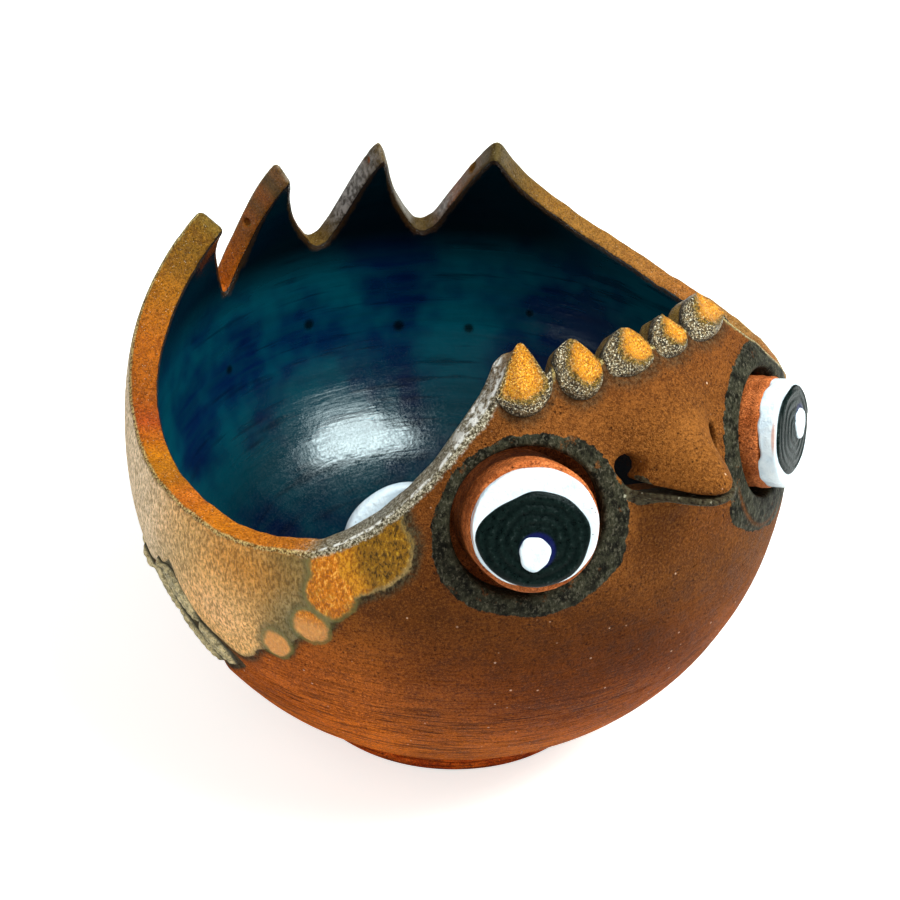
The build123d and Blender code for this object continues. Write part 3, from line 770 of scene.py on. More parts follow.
# ---------------------------------------------------------------- the bowl's materials
def terracotta(mat, base, turned):
    """Colour, roughness and relief of bare clay; turned is how strongly trimming lines show."""
    fine, grit, mid, big = mat.noises(
        (.55, 3, .72, 1), (.26, 1, .6, 9), (3.2, 3, .62, 2), (15, 2, .55, 3))
    colour = mat.paint(
        base,
        (big, .38, .66, .30, 0, (.48, .42, .38)), (big, .44, .70, 0, .35, (1.55, 1.6, 1.75)),
        (mid, .36, .52, .45, 0, (.45, .40, .38)),
        (fine, .36, .50, .85, 0, (.38, .32, .30)), (fine, .52, .66, 0, .75, (1.65, 1.75, 1.9)),
        (grit, .56, .70, 0, .45, (1.9, 2.3, 3.4)), (grit, .44, .32, 0, .50, (.45, .38, .34)),
        base=base)
    # dark specks, then rare pale grains, each let through in places by a coarser noise
    pick = mat.noise(size=2.4, detail=1, rough=.5, seed=4)
    speck = mat.cells(1.15).step(.24, .12) * pick.step(.51, .60)
    colour = mat.mix(speck * .70, colour, rgb(36, 18, 8))
    pick = mat.noise(size=6, detail=1, rough=.5, seed=5)
    pale = mat.cells(2.6).step(.12, .06) * pick.step(.53, .60)
    colour = mat.mix(pale * .7, colour, rgb(225, 190, 160))
    # trimming lines: dark broad ones that come and go, and fine light ones
    broad = mat.noise(size=.50, detail=2, rough=.66, seed=6, stretch=(.045, .045, 1.0))
    thin = mat.noise(size=.20, detail=1, rough=.6, seed=7, stretch=(.03, .03, 1.0))
    lines = broad.step(.49, .38) * turned
    patchy = mat.noise(size=22, detail=1, rough=.5, seed=8).step(.34, .58, .3, 1.0)
    colour = mat.mix(lines * .80 * patchy, colour, rgb(40, 17, 6))
    colour = mat.mix(thin.step(.54, .64) * turned * .30, colour,
                     mat.mix(1.0, base, (1.6, 1.8, 2.2), "MULTIPLY"))
    relief = fine * .6 + grit * .35 - speck * .5 - lines * .7
    return colour, mid.step(.3, .7, .58, .78), relief


def crystals(mat, base):
    """Colour and relief of the grainy rim glaze, with pale and dark crystals."""
    grain, cloud = mat.noises((.42, 2, .78, 20), (1.3, 2, .6, 21))
    colour = mat.paint(
        base,
        (grain, .38, .50, .80, 0, (.26, .24, .22)), (cloud, .36, .52, .55, 0, (.50, .40, .30)),
        (grain, .55, .72, 0, .60, (2.0, 2.1, 2.6)), (cloud, .56, .70, 0, .40, (1.6, 1.5, 1.5)),
        base=base)
    pick = mat.noise(size=1.9, detail=1, rough=.5, seed=22)
    spark = mat.cells(.62).step(.20, .10) * pick.step(.50, .60)
    colour = mat.mix(spark * .55, colour, rgb(240, 228, 196))
    return colour, grain * .8 + spark * .4


def inside_glaze(mat):
    """Colour, roughness and relief of the glossy blue inside."""
    bands = mat.noise(size=2.9, detail=3, rough=.60, seed=50, stretch=(.10, .10, 1.0))
    clouds, small = mat.noises((26, 3, .6, 51), (4.8, 3, .6, 52))
    blue = mat.paint(
        clouds.blend(.38, .62, rgb(0, 22, 58), rgb(0, 66, 80)),
        (bands, .42, .68, 0, .40, rgb(0, 50, 62)), (bands, .47, .30, 0, .55, rgb(0, 8, 30)),
        (small, .62, .76, 0, .20, rgb(4, 62, 74)))
    # painted shade: the inside goes near black where it lies in shadow
    blue = mat.mix(mat.attr("in_dark"), blue, rgb(0, 1, 3))
    blue = mat.mix(mat.attr("in_spot"), blue, rgb(0, 6, 7))
    frost = mat.noise(size=.55, detail=2, rough=.75, seed=53)
    rough = mat.mix_value(frost.step(.40, .62), small.step(.3, .75, .12, .18), .26)
    return blue, rough, bands * .6 + small * .5


def inside_material():
    mat = Shader("pot_inside_blue_glaze")
    blue, rough, relief = inside_glaze(mat)
    # the normals bend as if glaze filled the curve towards the floor
    height = Signal(mat, mat.add("SeparateXYZ", {0: mat.mm}).outputs[2])
    normal = height.step(62.0, 5.0).bump(12.0)
    return mat.done(blue, rough, relief.bump(.20, normal), Specular_IOR_Level=.66)


def shoulder_glaze(mat, colour, cloud, grain, wobble):
    """The tan to olive field over each shoulder. Returns colour, field mask and amber mask."""
    depth = mat.attr("d_patch") + wobble
    field_mask = depth.step(.35, -.35)
    tan = mat.attr("c_patch", "Color")
    field = mat.paint(tan, (grain, .38, .54, .85, 0, (.42, .38, .30)),
                      (grain, .53, .68, 0, .80, (1.35, 1.45, 1.7)), base=tan)
    field = mat.paint(field, (cloud, .40, .60, .25, 0, rgb(120, 92, 48)))
    # olive lobe beside the eye, warmer near the amber
    lobe_mask = (mat.attr("d_lobe") + wobble * 1.3).step(.5, -.9)
    lobe = mat.paint(
        grain.blend(.34, .52, rgb(66, 44, 4), rgb(134, 90, 8)),
        (grain, .56, .70, 0, .75, rgb(192, 146, 34)),
        (mat.attr("d_amber") + wobble * 1.6, 5.5, 1.0, 0, .75,
         grain.blend(.38, .60, rgb(186, 104, 4), rgb(240, 160, 30))))
    field = mat.mix(lobe_mask, field, lobe)
    field = mat.paint(field, (depth, -.15, -1.5, .60, 0, rgb(110, 100, 62)))
    colour = mat.mix(field_mask, colour, field)
    # dark green-grey edge outside the field
    halo = depth.step(-.35, .10) * depth.step(2.6, .5) * cloud.step(.30, .55, .55, 1.0)
    colour = mat.mix(halo * .90, colour,
                     grain.blend(.40, .60, rgb(34, 30, 20), rgb(74, 68, 48)))
    # amber blobs with a surround and a darker outline
    blob_depth = mat.attr("d_amber") + wobble * .7
    amber_mask = blob_depth.step(.25, -.55)
    around = blob_depth.step(2.2, .8) * depth.step(1.6, .5)
    off_lobe = 1.0 - lobe_mask * .95
    colour = mat.mix(around * .62 * off_lobe, colour, rgb(84, 78, 44))
    outline = blob_depth.step(-.85, -.15) * blob_depth.step(.8, .25)
    amber = mat.paint(
        rgb(214, 122, 6), (grain, .38, .52, .75, 0, rgb(140, 68, 0)),
        (grain, .54, .66, 0, .75, rgb(255, 190, 84)),
        (cloud, .45, .66, 0, .35, rgb(150, 104, 20)))
    amber = mat.mix(mat.attr("pinkish"), amber, rgb(226, 160, 92))
    colour = mat.mix(amber_mask, colour, amber)
    colour = mat.mix(outline * .6 * off_lobe, colour, rgb(120, 112, 62))
    return colour, field_mask, amber_mask


def wing_glaze(mat, colour, wobble):
    mask = (mat.attr("d_wing") + wobble * .35).step(.3, -.3)
    cloud = mat.noise(size=1.4, detail=3, rough=.65, seed=34)
    return mat.mix(mask * .94, colour, cloud.blend(.35, .65, rgb(34, 32, 24), rgb(84, 78, 56)))


def ring_paint(mat, colour, grain):
    """Brushed eye rings. Returns colour, mask and roughness."""
    streaks, bristle = mat.noises((2.6, 3, .62, 35), (.9, 3, .7, 36))
    depth = mat.attr("d_ring") + (streaks - .5) * 2.2 + (bristle - .5) * 1.1
    mask = depth.step(.10, -.10)
    dark = mat.paint(
        streaks.blend(.34, .64, rgb(20, 19, 13), rgb(50, 49, 36)),
        (bristle, .54, .70, 0, .60, rgb(84, 80, 64)), (bristle, .46, .32, 0, .85, rgb(5, 4, 2)),
        (grain, .54, .68, 0, .45, rgb(104, 98, 82)), (grain, .44, .30, 0, .75, rgb(6, 5, 3)))
    worn = mat.noise(size=3.4, detail=4, rough=.72, seed=39).step(.60, .70, 0, .55)
    # the gap is between two strokes under the right eye
    mask = mask * (1.0 - worn) * (1.0 - mat.attr("gap") * .75)
    return mat.mix(mask, colour, dark), mask, streaks.step(.3, .7, .68, .52)


def lip_glaze(mat, colour, cloud):
    """Dark glaze on the lip under the beak. Returns colour and mask."""
    mask = (mat.attr("d_lip") + (cloud - .5) * .7).step(.16, -.16)
    mottle = mat.noise(size=.9, detail=3, rough=.7, seed=41)
    dark = mat.paint(mottle.blend(.36, .66, rgb(28, 27, 20), rgb(78, 74, 56)),
                     (cloud, .62, .70, 0, .55, rgb(190, 184, 160)))
    return mat.mix(mask * .94, colour, dark), mask


def brow_bleed(mat, colour, cloud, grain, wobble):
    mask = (mat.attr("d_brow") + wobble * 1.2).step(3.4, .2) * cloud.step(.28, .58, .55, 1.0)
    return mat.mix(mask * .80, colour,
                   grain.blend(.42, .62, rgb(40, 28, 16), rgb(84, 66, 44)))


def rim_and_inside(mat, colour, rough, cloud):
    """Rim glaze on the cut face and just past its edges, then the blue inside.
    Returns colour, roughness, the rim and inside masks, and the relief of each."""
    depth, facing = mat.attr("d_rim"), mat.attr("nr")
    gran = mat.noise(size=.5, detail=2, rough=.8, seed=45)
    glaze, rim_relief = crystals(mat, mat.attr("c_rim", "Color"))
    spill = depth + (cloud - .5) * 1.5
    rim_mask = spill.step(1.6, .8)
    # pale crust where the surface turns outwards
    crust = facing.step(.40, .75) * rim_mask
    glaze = mat.mix(crust * .80, glaze,
                    gran.blend(.42, .60, rgb(64, 50, 18), rgb(214, 190, 124)))
    # silvery grey stretch beside the left eye, whose white flecks are partly painted glints, then a
    # white streak
    silver = mat.paint(gran.blend(.40, .56, rgb(58, 50, 34), rgb(150, 144, 128)),
                       (gran, .56, .66, 0, .9, rgb(236, 232, 222)))
    glaze = mat.mix(mat.attr("beside") * .75, glaze, silver)
    # painted highlight: the white streak lies where the rounded edge faces the light
    streak = facing.step(.40, .52) * facing.step(.76, .64)
    streak = streak * mat.attr("beside") * cloud.step(.42, .58, 0, .85)
    glaze = mat.mix(streak, glaze, rgb(246, 243, 236))
    glossy = mat.attr("rim_gloss")
    glaze = mat.mix(glossy, glaze, cloud.blend(.36, .64, rgb(70, 64, 58), rgb(158, 152, 146)))
    colour = mat.mix(rim_mask, colour, glaze)
    rough = mat.mix_value(rim_mask, rough, gran.step(.3, .7, .44, .22))
    rough = mat.mix_value(rim_mask * glossy, rough, .14)

    blue, blue_rough, blue_relief = inside_glaze(mat)
    brown_edge = spill.step(1.9, .6) * facing.step(-.45, -.9)
    blue = mat.mix(brown_edge * .75, blue, rgb(62, 38, 10))
    inside = (mat.attr("m_in") + (gran - .5) * .3).step(.45, .62)
    colour = mat.mix(inside, colour, blue)
    rough = mat.mix_value(inside, rough, blue_rough)
    rim_relief = rim_relief * (rim_mask * mat.mix_value(glossy, 1.0, .15))
    return colour, rough, rim_mask, inside, rim_relief, inside * blue_relief


def bowl_material(name, full):
    """Clay and all outer glazes; the full one adds the rim glaze and the inside."""
    mat = Shader(name)
    colour, rough, clay_relief = terracotta(mat, mat.attr("c_out", "Color"), mat.attr("low"))
    cloud = mat.noise(size=1.5, detail=2, rough=.62, seed=30)
    wobble = (cloud - .5) * 1.5
    grain = mat.noise(size=.60, detail=2, rough=.72, seed=31, stretch=(1, 1, .55))
    colour, field, amber = shoulder_glaze(mat, colour, cloud, grain, wobble)
    colour = wing_glaze(mat, colour, wobble)
    colour, ring, ring_rough = ring_paint(mat, colour, grain)
    colour, lip = lip_glaze(mat, colour, cloud)
    colour = brow_bleed(mat, colour, cloud, grain, wobble)

    rough = mat.mix_value(field, rough, grain.step(.3, .7, .62, .42))
    rough = mat.mix_value(amber, rough, .45)
    rough = mat.mix_value(ring, rough, ring_rough)
    rough = mat.mix_value(lip, rough, .40)
    outside = 1.0
    if full:
        colour, rough, rim, inside, rim_relief, blue_relief = rim_and_inside(
            mat, colour, rough, cloud)
        outside = 1.0 - inside.max(rim)
    normal = (clay_relief * (outside * (1.0 - field.max(ring)))).bump(.55)
    normal = (grain * (outside * field.max(amber).max(ring * .4))).bump(.60, normal)
    shine = mat.mix_value(field.max(amber), .05, .18)
    if full:
        normal = blue_relief.bump(.22, rim_relief.bump(.55, normal))
        shine = mat.mix_value(inside, mat.mix_value(rim, shine, .16), .66)
    return mat.done(colour, rough, normal, Specular_IOR_Level=shine)


# ---------------------------------------------------------------- the bowl
def clay_colour(az, el, rise):
    """Bare clay: paler and more orange by the beak and the foot, darker on the front belly."""
    def spot(az0, spread, rise0, rise_spread):
        return np.exp(-((az - az0) / spread) ** 2 - ((rise - rise0) / rise_spread) ** 2)

    broad, fine = ripple(az, el, 7, 41), ripple(az, el, 16, 42)
    clay = wash(
        np.tile(np.array([.30, .070, .013]), (len(az), 1)),
        (ease(-.4, 1.2, broad) * .5, (.42, .110, .022)),
        (ease(-.2, 1.3, fine) * .35, (.20, .042, .007)),
        (spot(3, 12, .44, .12) * .85, (.44, .118, .022)),
        (spot(-8, 32, -.13, .22) * .75, (.105, .022, .003)),
        (spot(32, 20, -.06, .2) * .6, (.28, .090, .028)),
        (ease(-.38, -.62, rise) * .7, (.44, .110, .018)),
        (ease(-.62, -.85, rise) * .8, (.44, .095, .010)))
    # painted shade: the upper front is darkened to offset the key light falling on it from the front
    # above
    upper_front_painted_shade = ease(-.32, .12, rise) * ease(72, 50, np.abs(az))
    clay = wash(clay, (upper_front_painted_shade, clay * np.array([.50, .66, .80])))
    clay = wash(clay, (spot(-8, 34, -.10, .24) * .35, clay * np.array([.45, .42, .25])))
    lower = ease(-.25, -.5, rise)[:, None]
    clay = clay * (1 + lower * np.array([.12, .05, -.35]))
    # painted light: the left side low down is made brighter, as if lit more
    left = (ease(-38, -52, az) * ease(.12, -.05, rise))[:, None]
    return clay * (1 + left * np.array([.42, .38, .10])) * np.array([1.0, .97, .72])


def patch_colour(az, el, rise):
    """The shoulder field: tan, olive towards the face, peach low down, pale further back."""
    side = np.abs(az)
    return wash(
        np.tile(np.array(rgb(246, 186, 108)), (len(az), 1)),
        (bell(side, 61.5, 5.5) * ease(.02, .10, rise + .15) * .85, rgb(112, 98, 50)),
        (ease(70, 60, side) * .55, rgb(112, 104, 62)),
        (bell(side, 70, 9) * bell(rise, .10, .10) * .8, rgb(206, 132, 34)),
        (ease(80, 98, side) * .85, rgb(255, 226, 186)),
        (bell(side, 76, 8) * bell(rise, -.12, .09) * .8, rgb(255, 196, 132)),
        (ease(104, 135, side) * .7, rgb(222, 196, 156)),
        (ease(.2, 1.2, ripple(az, el, 18, 44)) * .35, rgb(176, 158, 112)))


def rim_colour(az, el):
    stations = [row[0] for row in RIM_COLOURS]
    colours = np.array([rgb(*row[1:]) for row in RIM_COLOURS])
    jittered = az + 1.2 * ripple(az, el, 60, 46)
    channels = [np.interp(jittered, stations, colours[:, i]) for i in range(3)]
    return np.stack(channels, 1) * np.array([.60, .52, .30])


def tuft_edge(lowest, across):
    """Rise of a tuft's lower edge; across runs from -1 to 1 over its width."""
    return lowest + (TUFT_SHOULDER - lowest) * np.abs(np.clip(across, -1, 1)) ** 2.2


def brow_distance(az, rise, facing):
    """Distance in mm below the tufts' lower edges."""
    distance = np.full(len(az), 9.0)
    for _, az_left, az_right, _, lowest in TUFTS:
        across = (az - (az_left + az_right) / 2) / ((az_right - az_left) / 2)
        drop = (tuft_edge(lowest, across) - rise) * RADIUS / .78
        distance = np.where(np.abs(across) <= 1.12, np.minimum(distance, drop), distance)
    beyond = ease(29, 33, np.abs(az)) * 9
    return np.where((facing > 0) & (rise > .45), np.maximum(distance, -1) + beyond, 9.0)


def stroke_gap(az, el):
    """A thin arc under the right eye where two brush strokes part."""
    x = (az - 28.5) * pi / 180 * np.cos(el) * RADIUS
    y = (el - radians(16.0)) * RADIUS
    reach, spin = np.hypot(x, y), np.degrees(np.arctan2(y, x))
    return (np.exp(-((reach - 16.9 - .02 * (spin + 150)) / .32) ** 2)
            * ease(-178, -165, spin) * ease(-60, -85, spin))


# Painted shade inside the bowl: high at the back, on the front wall, towards the floor and low on the
# right.
def inner_shade(az, rise):
    side = np.abs(az)
    shade = (ease(.04, .28, rise) * ease(95, 130, side)
             + .5 * ease(.50, .0, rise) * ease(60, 30, side) * ease(-.75, -.2, rise)
             + .62 * ease(-.10, -.6, rise)
             + .75 * bell(az, 94, 13) * bell(rise, -.50, .16))
    return np.clip(shade, 0, .97)


def inner_spots(az, el):
    spots = np.zeros(len(az))
    for az0, rise0, size in INNER_SPOTS:
        x = ((az - az0 + 180) % 360 - 180) * pi / 180 * np.cos(el) * INNER_RADIUS
        y = (el - asin(rise0)) * INNER_RADIUS
        spots = np.maximum(spots, ease(size * 1.3, size * .5, np.hypot(x, y)))
    return spots * .85


def build_bowl():
    points, quads = surface_nets(bowl, low=(-80, -95, -69.5), high=(80, 80, 58), cell=GRID,
                                 steepness=bowl_steepness)
    # pull the vertices onto the surface
    for _ in range(2):
        error = bowl(points)
        slope = gradient(bowl, points)
        step = np.clip(error / np.maximum((slope ** 2).sum(1), .3), -.3, .3)
        points = points - (step * (np.abs(error) < 1.5))[:, None] * slope
    normals = gradient(bowl, points, reach=.12)
    normals /= np.linalg.norm(normals, axis=1)[:, None] + 1e-9
    r, az, rise, el, over_rim, inner = bowl(points, details=True)
    ob = make_mesh("owl_bowl_clay", points + np.array([0, 0, CENTRE_Z]), quads)

    # facing: 1 where the surface looks away from the sphere's centre, -1 where towards it
    facing = (normals * (points / r[:, None])).sum(1)
    inside = ease(RADIUS - .8, RADIUS - 3.2, r - np.maximum(inner, 0)) * ease(-.42, -.78, facing)
    ring = -np.minimum(-ring_map, hole_map + 3.0)
    lip = np.where((facing > -.2) & (r > RADIUS - .8), sample(lip_map, az, el), 9.0)
    for name, values in (
            ("nr", facing), ("m_in", inside), ("d_rim", -over_rim),
            ("d_patch", sample(patch_map, az, el)), ("d_amber", sample(amber_map, az, el)),
            ("d_lobe", sample(lobe_map, az, el)), ("pinkish", ease(.03, -.02, rise) * .65),
            ("gap", stroke_gap(az, el)), ("d_wing", sample(wing_map, az, el)),
            ("d_ring", sample(ring, az, el)), ("d_lip", lip),
            ("low", np.clip(ease(-.12, -.42, rise) + .25 * ease(.25, -.1, rise), 0, 1))):
        put(ob, name, values)
    put_colour(ob, "c_out", clay_colour(az, el, rise))
    put_colour(ob, "c_patch", patch_colour(az, el, rise))
    rim = rim_colour(az, el)
    put_colour(ob, "c_rim", rim)
    # a second, greyer layer: Blender numbers its name, and the shader reads the first
    beside = ease(-62, -54, az) * ease(-25, -28, az)
    put_colour(ob, "c_rim", wash(rim, (beside * .75, rgb(120, 112, 92))))
    put(ob, "beside", beside)
    gloss = np.maximum.reduce([bell(az, 171, 4), bell(az, 150, 3.0) * .9,
                               bell(az, -167, 1.8) * .8, bell(az, 156, 3) * .6])
    put(ob, "rim_gloss", np.clip(gloss * ease(.22, .34, rise), 0, 1))
    put(ob, "in_dark", inner_shade(az, rise))
    put(ob, "in_spot", inner_spots(az, el))
    put(ob, "d_brow", brow_distance(az, rise, facing))

    materials = (bowl_material("pot_clay_and_glazes", full=True),
                 bowl_material("pot_outside", full=False), inside_material())
    register(ob, materials, "bowl", "bowl_shell", "bowl_shell", "beak", "beak_lip")
    # faces well below the rim take the simpler inside or outside material
    mesh = ob.data
    corners = np.empty(len(mesh.loops), np.int32)
    mesh.loops.foreach_get("vertex_index", corners)
    corners = corners.reshape(len(mesh.polygons), -1)
    deep = (-over_rim)[corners].min(1) > 3.6
    all_in, all_out = inside[corners].min(1) > .99, inside[corners].max(1) < .01
    slots = np.where(deep & all_in, 2, np.where(deep & all_out, 1, 0))
    mesh.polygons.foreach_set("material_index", slots.astype(np.int32))


build_bowl()


# ---------------------------------------------------------------- relief skins on the sphere
def skin(name, columns, rows, where, height, depth):
    """Closed raised skin: where(u, v) -> (azimuth, rise), height(u, v) in mm over the bowl.
    Returns the object and the u and v of its top vertices."""
    u, v = np.meshgrid(np.linspace(0, 1, columns + 1), np.linspace(0, 1, rows + 1),
                       indexing="ij")
    az, rise = where(u, v)
    el = np.arcsin(np.clip(rise, -1, 1))
    base = sample(base_map, az, el)
    outwards = np.stack([np.cos(el) * np.sin(np.radians(az)),
                         -np.cos(el) * np.cos(np.radians(az)), np.sin(el)], -1)
    top = outwards * (RADIUS + base + height(u, v))[..., None]
    bottom = outwards * (RADIUS + base - depth)[..., None]
    verts = np.concatenate([top.reshape(-1, 3), bottom.reshape(-1, 3)])
    verts[:, 2] += CENTRE_Z
    count = u.size
    index = np.arange(count).reshape(columns + 1, rows + 1)
    a, b = index[:-1, :-1].ravel(), index[1:, :-1].ravel()
    c, d = index[1:, 1:].ravel(), index[:-1, 1:].ravel()
    faces = [np.stack([a, b, c, d], 1), np.stack([b, a, d, c], 1) + count]
    for edge, flip in ((index[:, 0], True), (index[:, -1], False),
                       (index[0, :], False), (index[-1, :], True)):
        wall = np.stack([edge[:-1], edge[1:], edge[1:] + count, edge[:-1] + count], 1)
        faces.append(wall[:, ::-1] if flip else wall)
    return make_mesh(name, verts, np.concatenate(faces)), u.ravel(), v.ravel()


def put_top(ob, name, values):
    """Attribute on a skin's top; its underside gets 0."""
    put(ob, name, np.concatenate([values, values * 0]))


def tuft_material():
    mat = Shader("tuft_crystal_glaze")
    facet, edge = mat.attr("amber"), mat.attr("edge")
    grain, cloud = mat.noises((.36, 2, .8, 70), (.8, 2, .65, 71))
    body = mat.paint(
        cloud.blend(.34, .62, rgb(50, 36, 16), rgb(120, 96, 58)),
        (grain, .53, .64, 0, .95, rgb(236, 224, 192)), (grain, .48, .38, 0, .9, rgb(24, 19, 8)))
    ragged = facet + (cloud - .5) * .5
    amber = mat.paint(
        grain.blend(.36, .54, rgb(150, 80, 0), rgb(236, 150, 8)),
        (grain, .55, .66, 0, .8, rgb(255, 220, 120)), (ragged, .42, .75, .5, 0, rgb(150, 96, 0)))
    pool = ragged.step(.22, .46)
    border = ragged.step(.04, .22) * (1.0 - pool)
    colour = mat.mix(border * .85, body,
                     grain.blend(.4, .6, rgb(70, 52, 2), rgb(150, 112, 8)))
    colour = mat.mix(pool, colour, amber)
    # painted shadow: dark along the sides and lower edge, where the scallop stands off the wall
    painted_edge_shadow = edge.step(.75, .10) * cloud.step(.35, .6, .3, .9)
    colour = mat.mix(painted_edge_shadow, colour, rgb(20, 16, 9))
    pick = mat.noise(size=1.5, detail=1, rough=.5, seed=72)
    spark = mat.cells(.55).step(.2, .08) * pick.step(.48, .58)
    colour = mat.mix(spark * mat.mix_value(pool, .7, .3), colour, rgb(244, 238, 216))
    normal = cloud.bump(.5, (grain + spark * .4).bump(.60))
    return mat.done(colour, grain.step(.35, .65, .42, .20), normal, Specular_IOR_Level=.45)


def build_tuft(material, name, az_left, az_right, az_ridge, lowest):
    """A scallop hanging from the rim, with a ridge down it and an amber facet."""
    width = (az_right - az_left) * pi / 180 * RADIUS * .75
    ridge_u = (az_ridge - az_left) / (az_right - az_left) - .06
    # the facet lies right of the ridge, except on the outer left tuft
    facet_u, facet_half = ridge_u + (1 - ridge_u) * .42, (1 - ridge_u) * .74
    if name.endswith("outer_left"):
        facet_u, facet_half = .50, .40

    def facet(u, v):
        x = (u - facet_u - .05 * (v - .5)) / facet_half
        y = (v - .60) / .54
        return np.clip(1.12 - np.sqrt(x * x + y * y * (1 + .6 * (y < 0))), 0, 1)

    def where(u, v):
        az = az_left + (az_right - az_left) * u
        top, _ = rim_at(az)
        low = np.minimum(tuft_edge(lowest, 2 * u - 1), top - .010)
        return az, low + (top + .001 - low) * v

    def edges(u, v):
        """Distances in mm from the nearer side and from the lower edge."""
        up = (np.arcsin(where(u, v)[1]) - np.arcsin(where(u, v * 0)[1])) * RADIUS
        return np.minimum(u, 1 - u) * width, up

    def height(u, v):
        az, rise = where(u, v)
        edge = soft_min(*edges(u, v), 1.5)
        middle = ridge_u + .04 * (v - .5)
        ridge = np.where(u < middle, u / middle, (1 - u) / (1 - middle))
        seed = int(abs(az_left) * 10)
        lumps = .9 * ripple(az * 9, np.arcsin(rise) * 14, 9, seed, .10)
        body = ((1 - np.exp(-np.maximum(edge, 0) / .75)) * (1.0 + 1.9 * ridge ** 1.1)
                * (1 - .40 * v ** 1.5))
        scoop = -.45 * np.sin(np.clip((ridge - .1) / .8, 0, 1) * pi) * ease(0, .3, v)
        pool = (-.34 * ease(.12, .60, facet(u, v)) * ease(.9, 2.2, edge)
                + .20 * bell(facet(u, v), .10, .10) * ease(.3, 1.5, edge))
        raised = -.25 + body + scoop * ease(.3, 1.5, edge) + pool + lumps * ease(.2, 1.2, edge)
        return np.maximum(raised, -.25 + .85 * np.minimum(edge / .6, 1))

    ob, u, v = skin(name + "_scallop", 96, 80, where, height, depth=1.3)
    put_top(ob, "amber", facet(u, v))
    put_top(ob, "edge", np.minimum(*edges(u, v)))
    register(ob, [material], "bowl", "brow_tufts", name)


tuft_glaze = tuft_material()
for tuft in TUFTS:
    build_tuft(tuft_glaze, *tuft)


def feather_material():
    mat = Shader("feather_ash_glaze")
    rib, edge = mat.attr("rib"), mat.attr("edge")
    grain, cloud = mat.noises((.4, 2, .75, 80), (1.8, 2, .6, 81))
    colour = mat.paint(
        cloud.blend(.34, .66, rgb(146, 130, 84), rgb(226, 202, 146)),
        (grain, .55, .70, 0, .60, rgb(250, 236, 196)), (grain, .46, .35, 0, .8, rgb(42, 38, 24)),
        (edge, .55, .1, 0, 1, rgb(64, 60, 44)))
    colour = mat.mix(rib * .6, colour, rgb(72, 68, 48))
    return mat.done(colour, grain.step(.3, .7, .5, .34), grain.bump(.35))


def build_leaf(name, az0, rise0, half_length, half_width, tilt):
    """One leaf of the left wing, with a sunk midrib and slanting barbs."""
    level = sqrt(1 - rise0 * rise0)
    c, s = cos(radians(tilt)), sin(radians(tilt))

    def width_at(x, taper=0):
        return half_width * (1 - np.abs(x) ** 2.0) ** .75 * (1 - taper * x) + .04

    def where(u, v):
        x, y = 2 * u - 1, 2 * v - 1
        along = half_length * x
        across = width_at(x, .12) * y + .7 * np.sin(x * 1.5) * (1 - x * x)
        right, up = along * c - across * s, along * s + across * c
        return az0 + np.degrees(right / (RADIUS * level)), np.sin(asin(rise0) + up / RADIUS)

    def edge_and_rib(u, v):
        x, y = 2 * u - 1, 2 * v - 1
        width = width_at(x)
        edge = np.minimum((1 - np.abs(y)) * width, (1 - np.abs(x)) * half_length * .8)
        return edge, np.exp(-(y * width / .38) ** 2)

    def height(u, v):
        x, y = 2 * u - 1, 2 * v - 1
        edge, rib = edge_and_rib(u, v)
        rib = rib * ease(1, .8, np.abs(x))
        barb = np.sin((x * half_length * 1.7 - np.abs(y) * width_at(x) * 1.4) * 1.9)
        return (-.1 + 1.45 * (1 - np.exp(-np.maximum(edge, 0) / .6)) - .35 * rib
                + .10 * barb * ease(.2, .8, edge))

    ob, u, v = skin(name, 84, 40, where, height, depth=1.0)
    edge, rib = edge_and_rib(u, v)
    put_top(ob, "rib", rib)
    put_top(ob, "edge", edge)
    return ob


def build_wing(material, side, piece):
    """All leaves joined; the right wing is the left one mirrored in X."""
    leaves = [build_leaf(f"leaf_{k}", *row) for k, row in enumerate(LEAVES)]
    if side == RIGHT:
        for leaf in leaves:
            places = np.empty(len(leaf.data.vertices) * 3, np.float32)
            leaf.data.vertices.foreach_get("co", places)
            places[::3] *= -1
            leaf.data.vertices.foreach_set("co", places)
            leaf.data.flip_normals()
    bpy.ops.object.select_all(action="DESELECT")
    for leaf in leaves:
        leaf.select_set(True)
    bpy.context.view_layer.objects.active = leaves[0]
    bpy.ops.object.join()
    leaves[0].name = piece + "_relief"
    register(leaves[0], [material], "bowl", "wing_feathers", piece)


feather_glaze = feather_material()
for side, word in SIDES:
    build_wing(feather_glaze, side, word + "_wing_feathers")


# ---------------------------------------------------------------- turned and poured pieces
def profile(stations, span):
    """Points at most span apart through stations of radius, height and corner fillet."""
    rows = np.array(stations, float)
    corners = rows[:, :2]
    line = [corners[0]]
    for before, here, after, fillet in zip(corners, corners[1:], corners[2:], rows[1:, 2]):
        if not fillet:
            line.append(here)
            continue
        length_in, length_out = np.linalg.norm(before - here), np.linalg.norm(after - here)
        reach = min(fillet, .48 * length_in, .48 * length_out)
        start = here + (before - here) / length_in * reach
        end = here + (after - here) / length_out * reach
        for t in (k / 5 for k in range(6)):
            line.append((1 - t) ** 2 * start + 2 * t * (1 - t) * here + t * t * end)
    line.append(corners[-1])
    points = [line[0]]
    for a, b in zip(line, line[1:]):
        parts = max(1, int(ceil(np.linalg.norm(b - a) / span)))
        points += [a + (b - a) * k / parts for k in range(1, parts + 1)]
    return np.array(points)


def ring_faces(rings, segments):
    """Quads between stacked rings, and a fan to each of the two end points after them."""
    faces = []
    nexts = [(j, (j + 1) % segments) for j in range(segments)]
    for i in range(rings - 1):
        low, high = i * segments, (i + 1) * segments
        faces += [(low + j, low + k, high + k, high + j) for j, k in nexts]
    first = rings * segments
    last = (rings - 1) * segments
    for j, k in nexts:
        faces.append((first, k, j))
        faces.append((first + 1, last + j, last + k))
    return faces


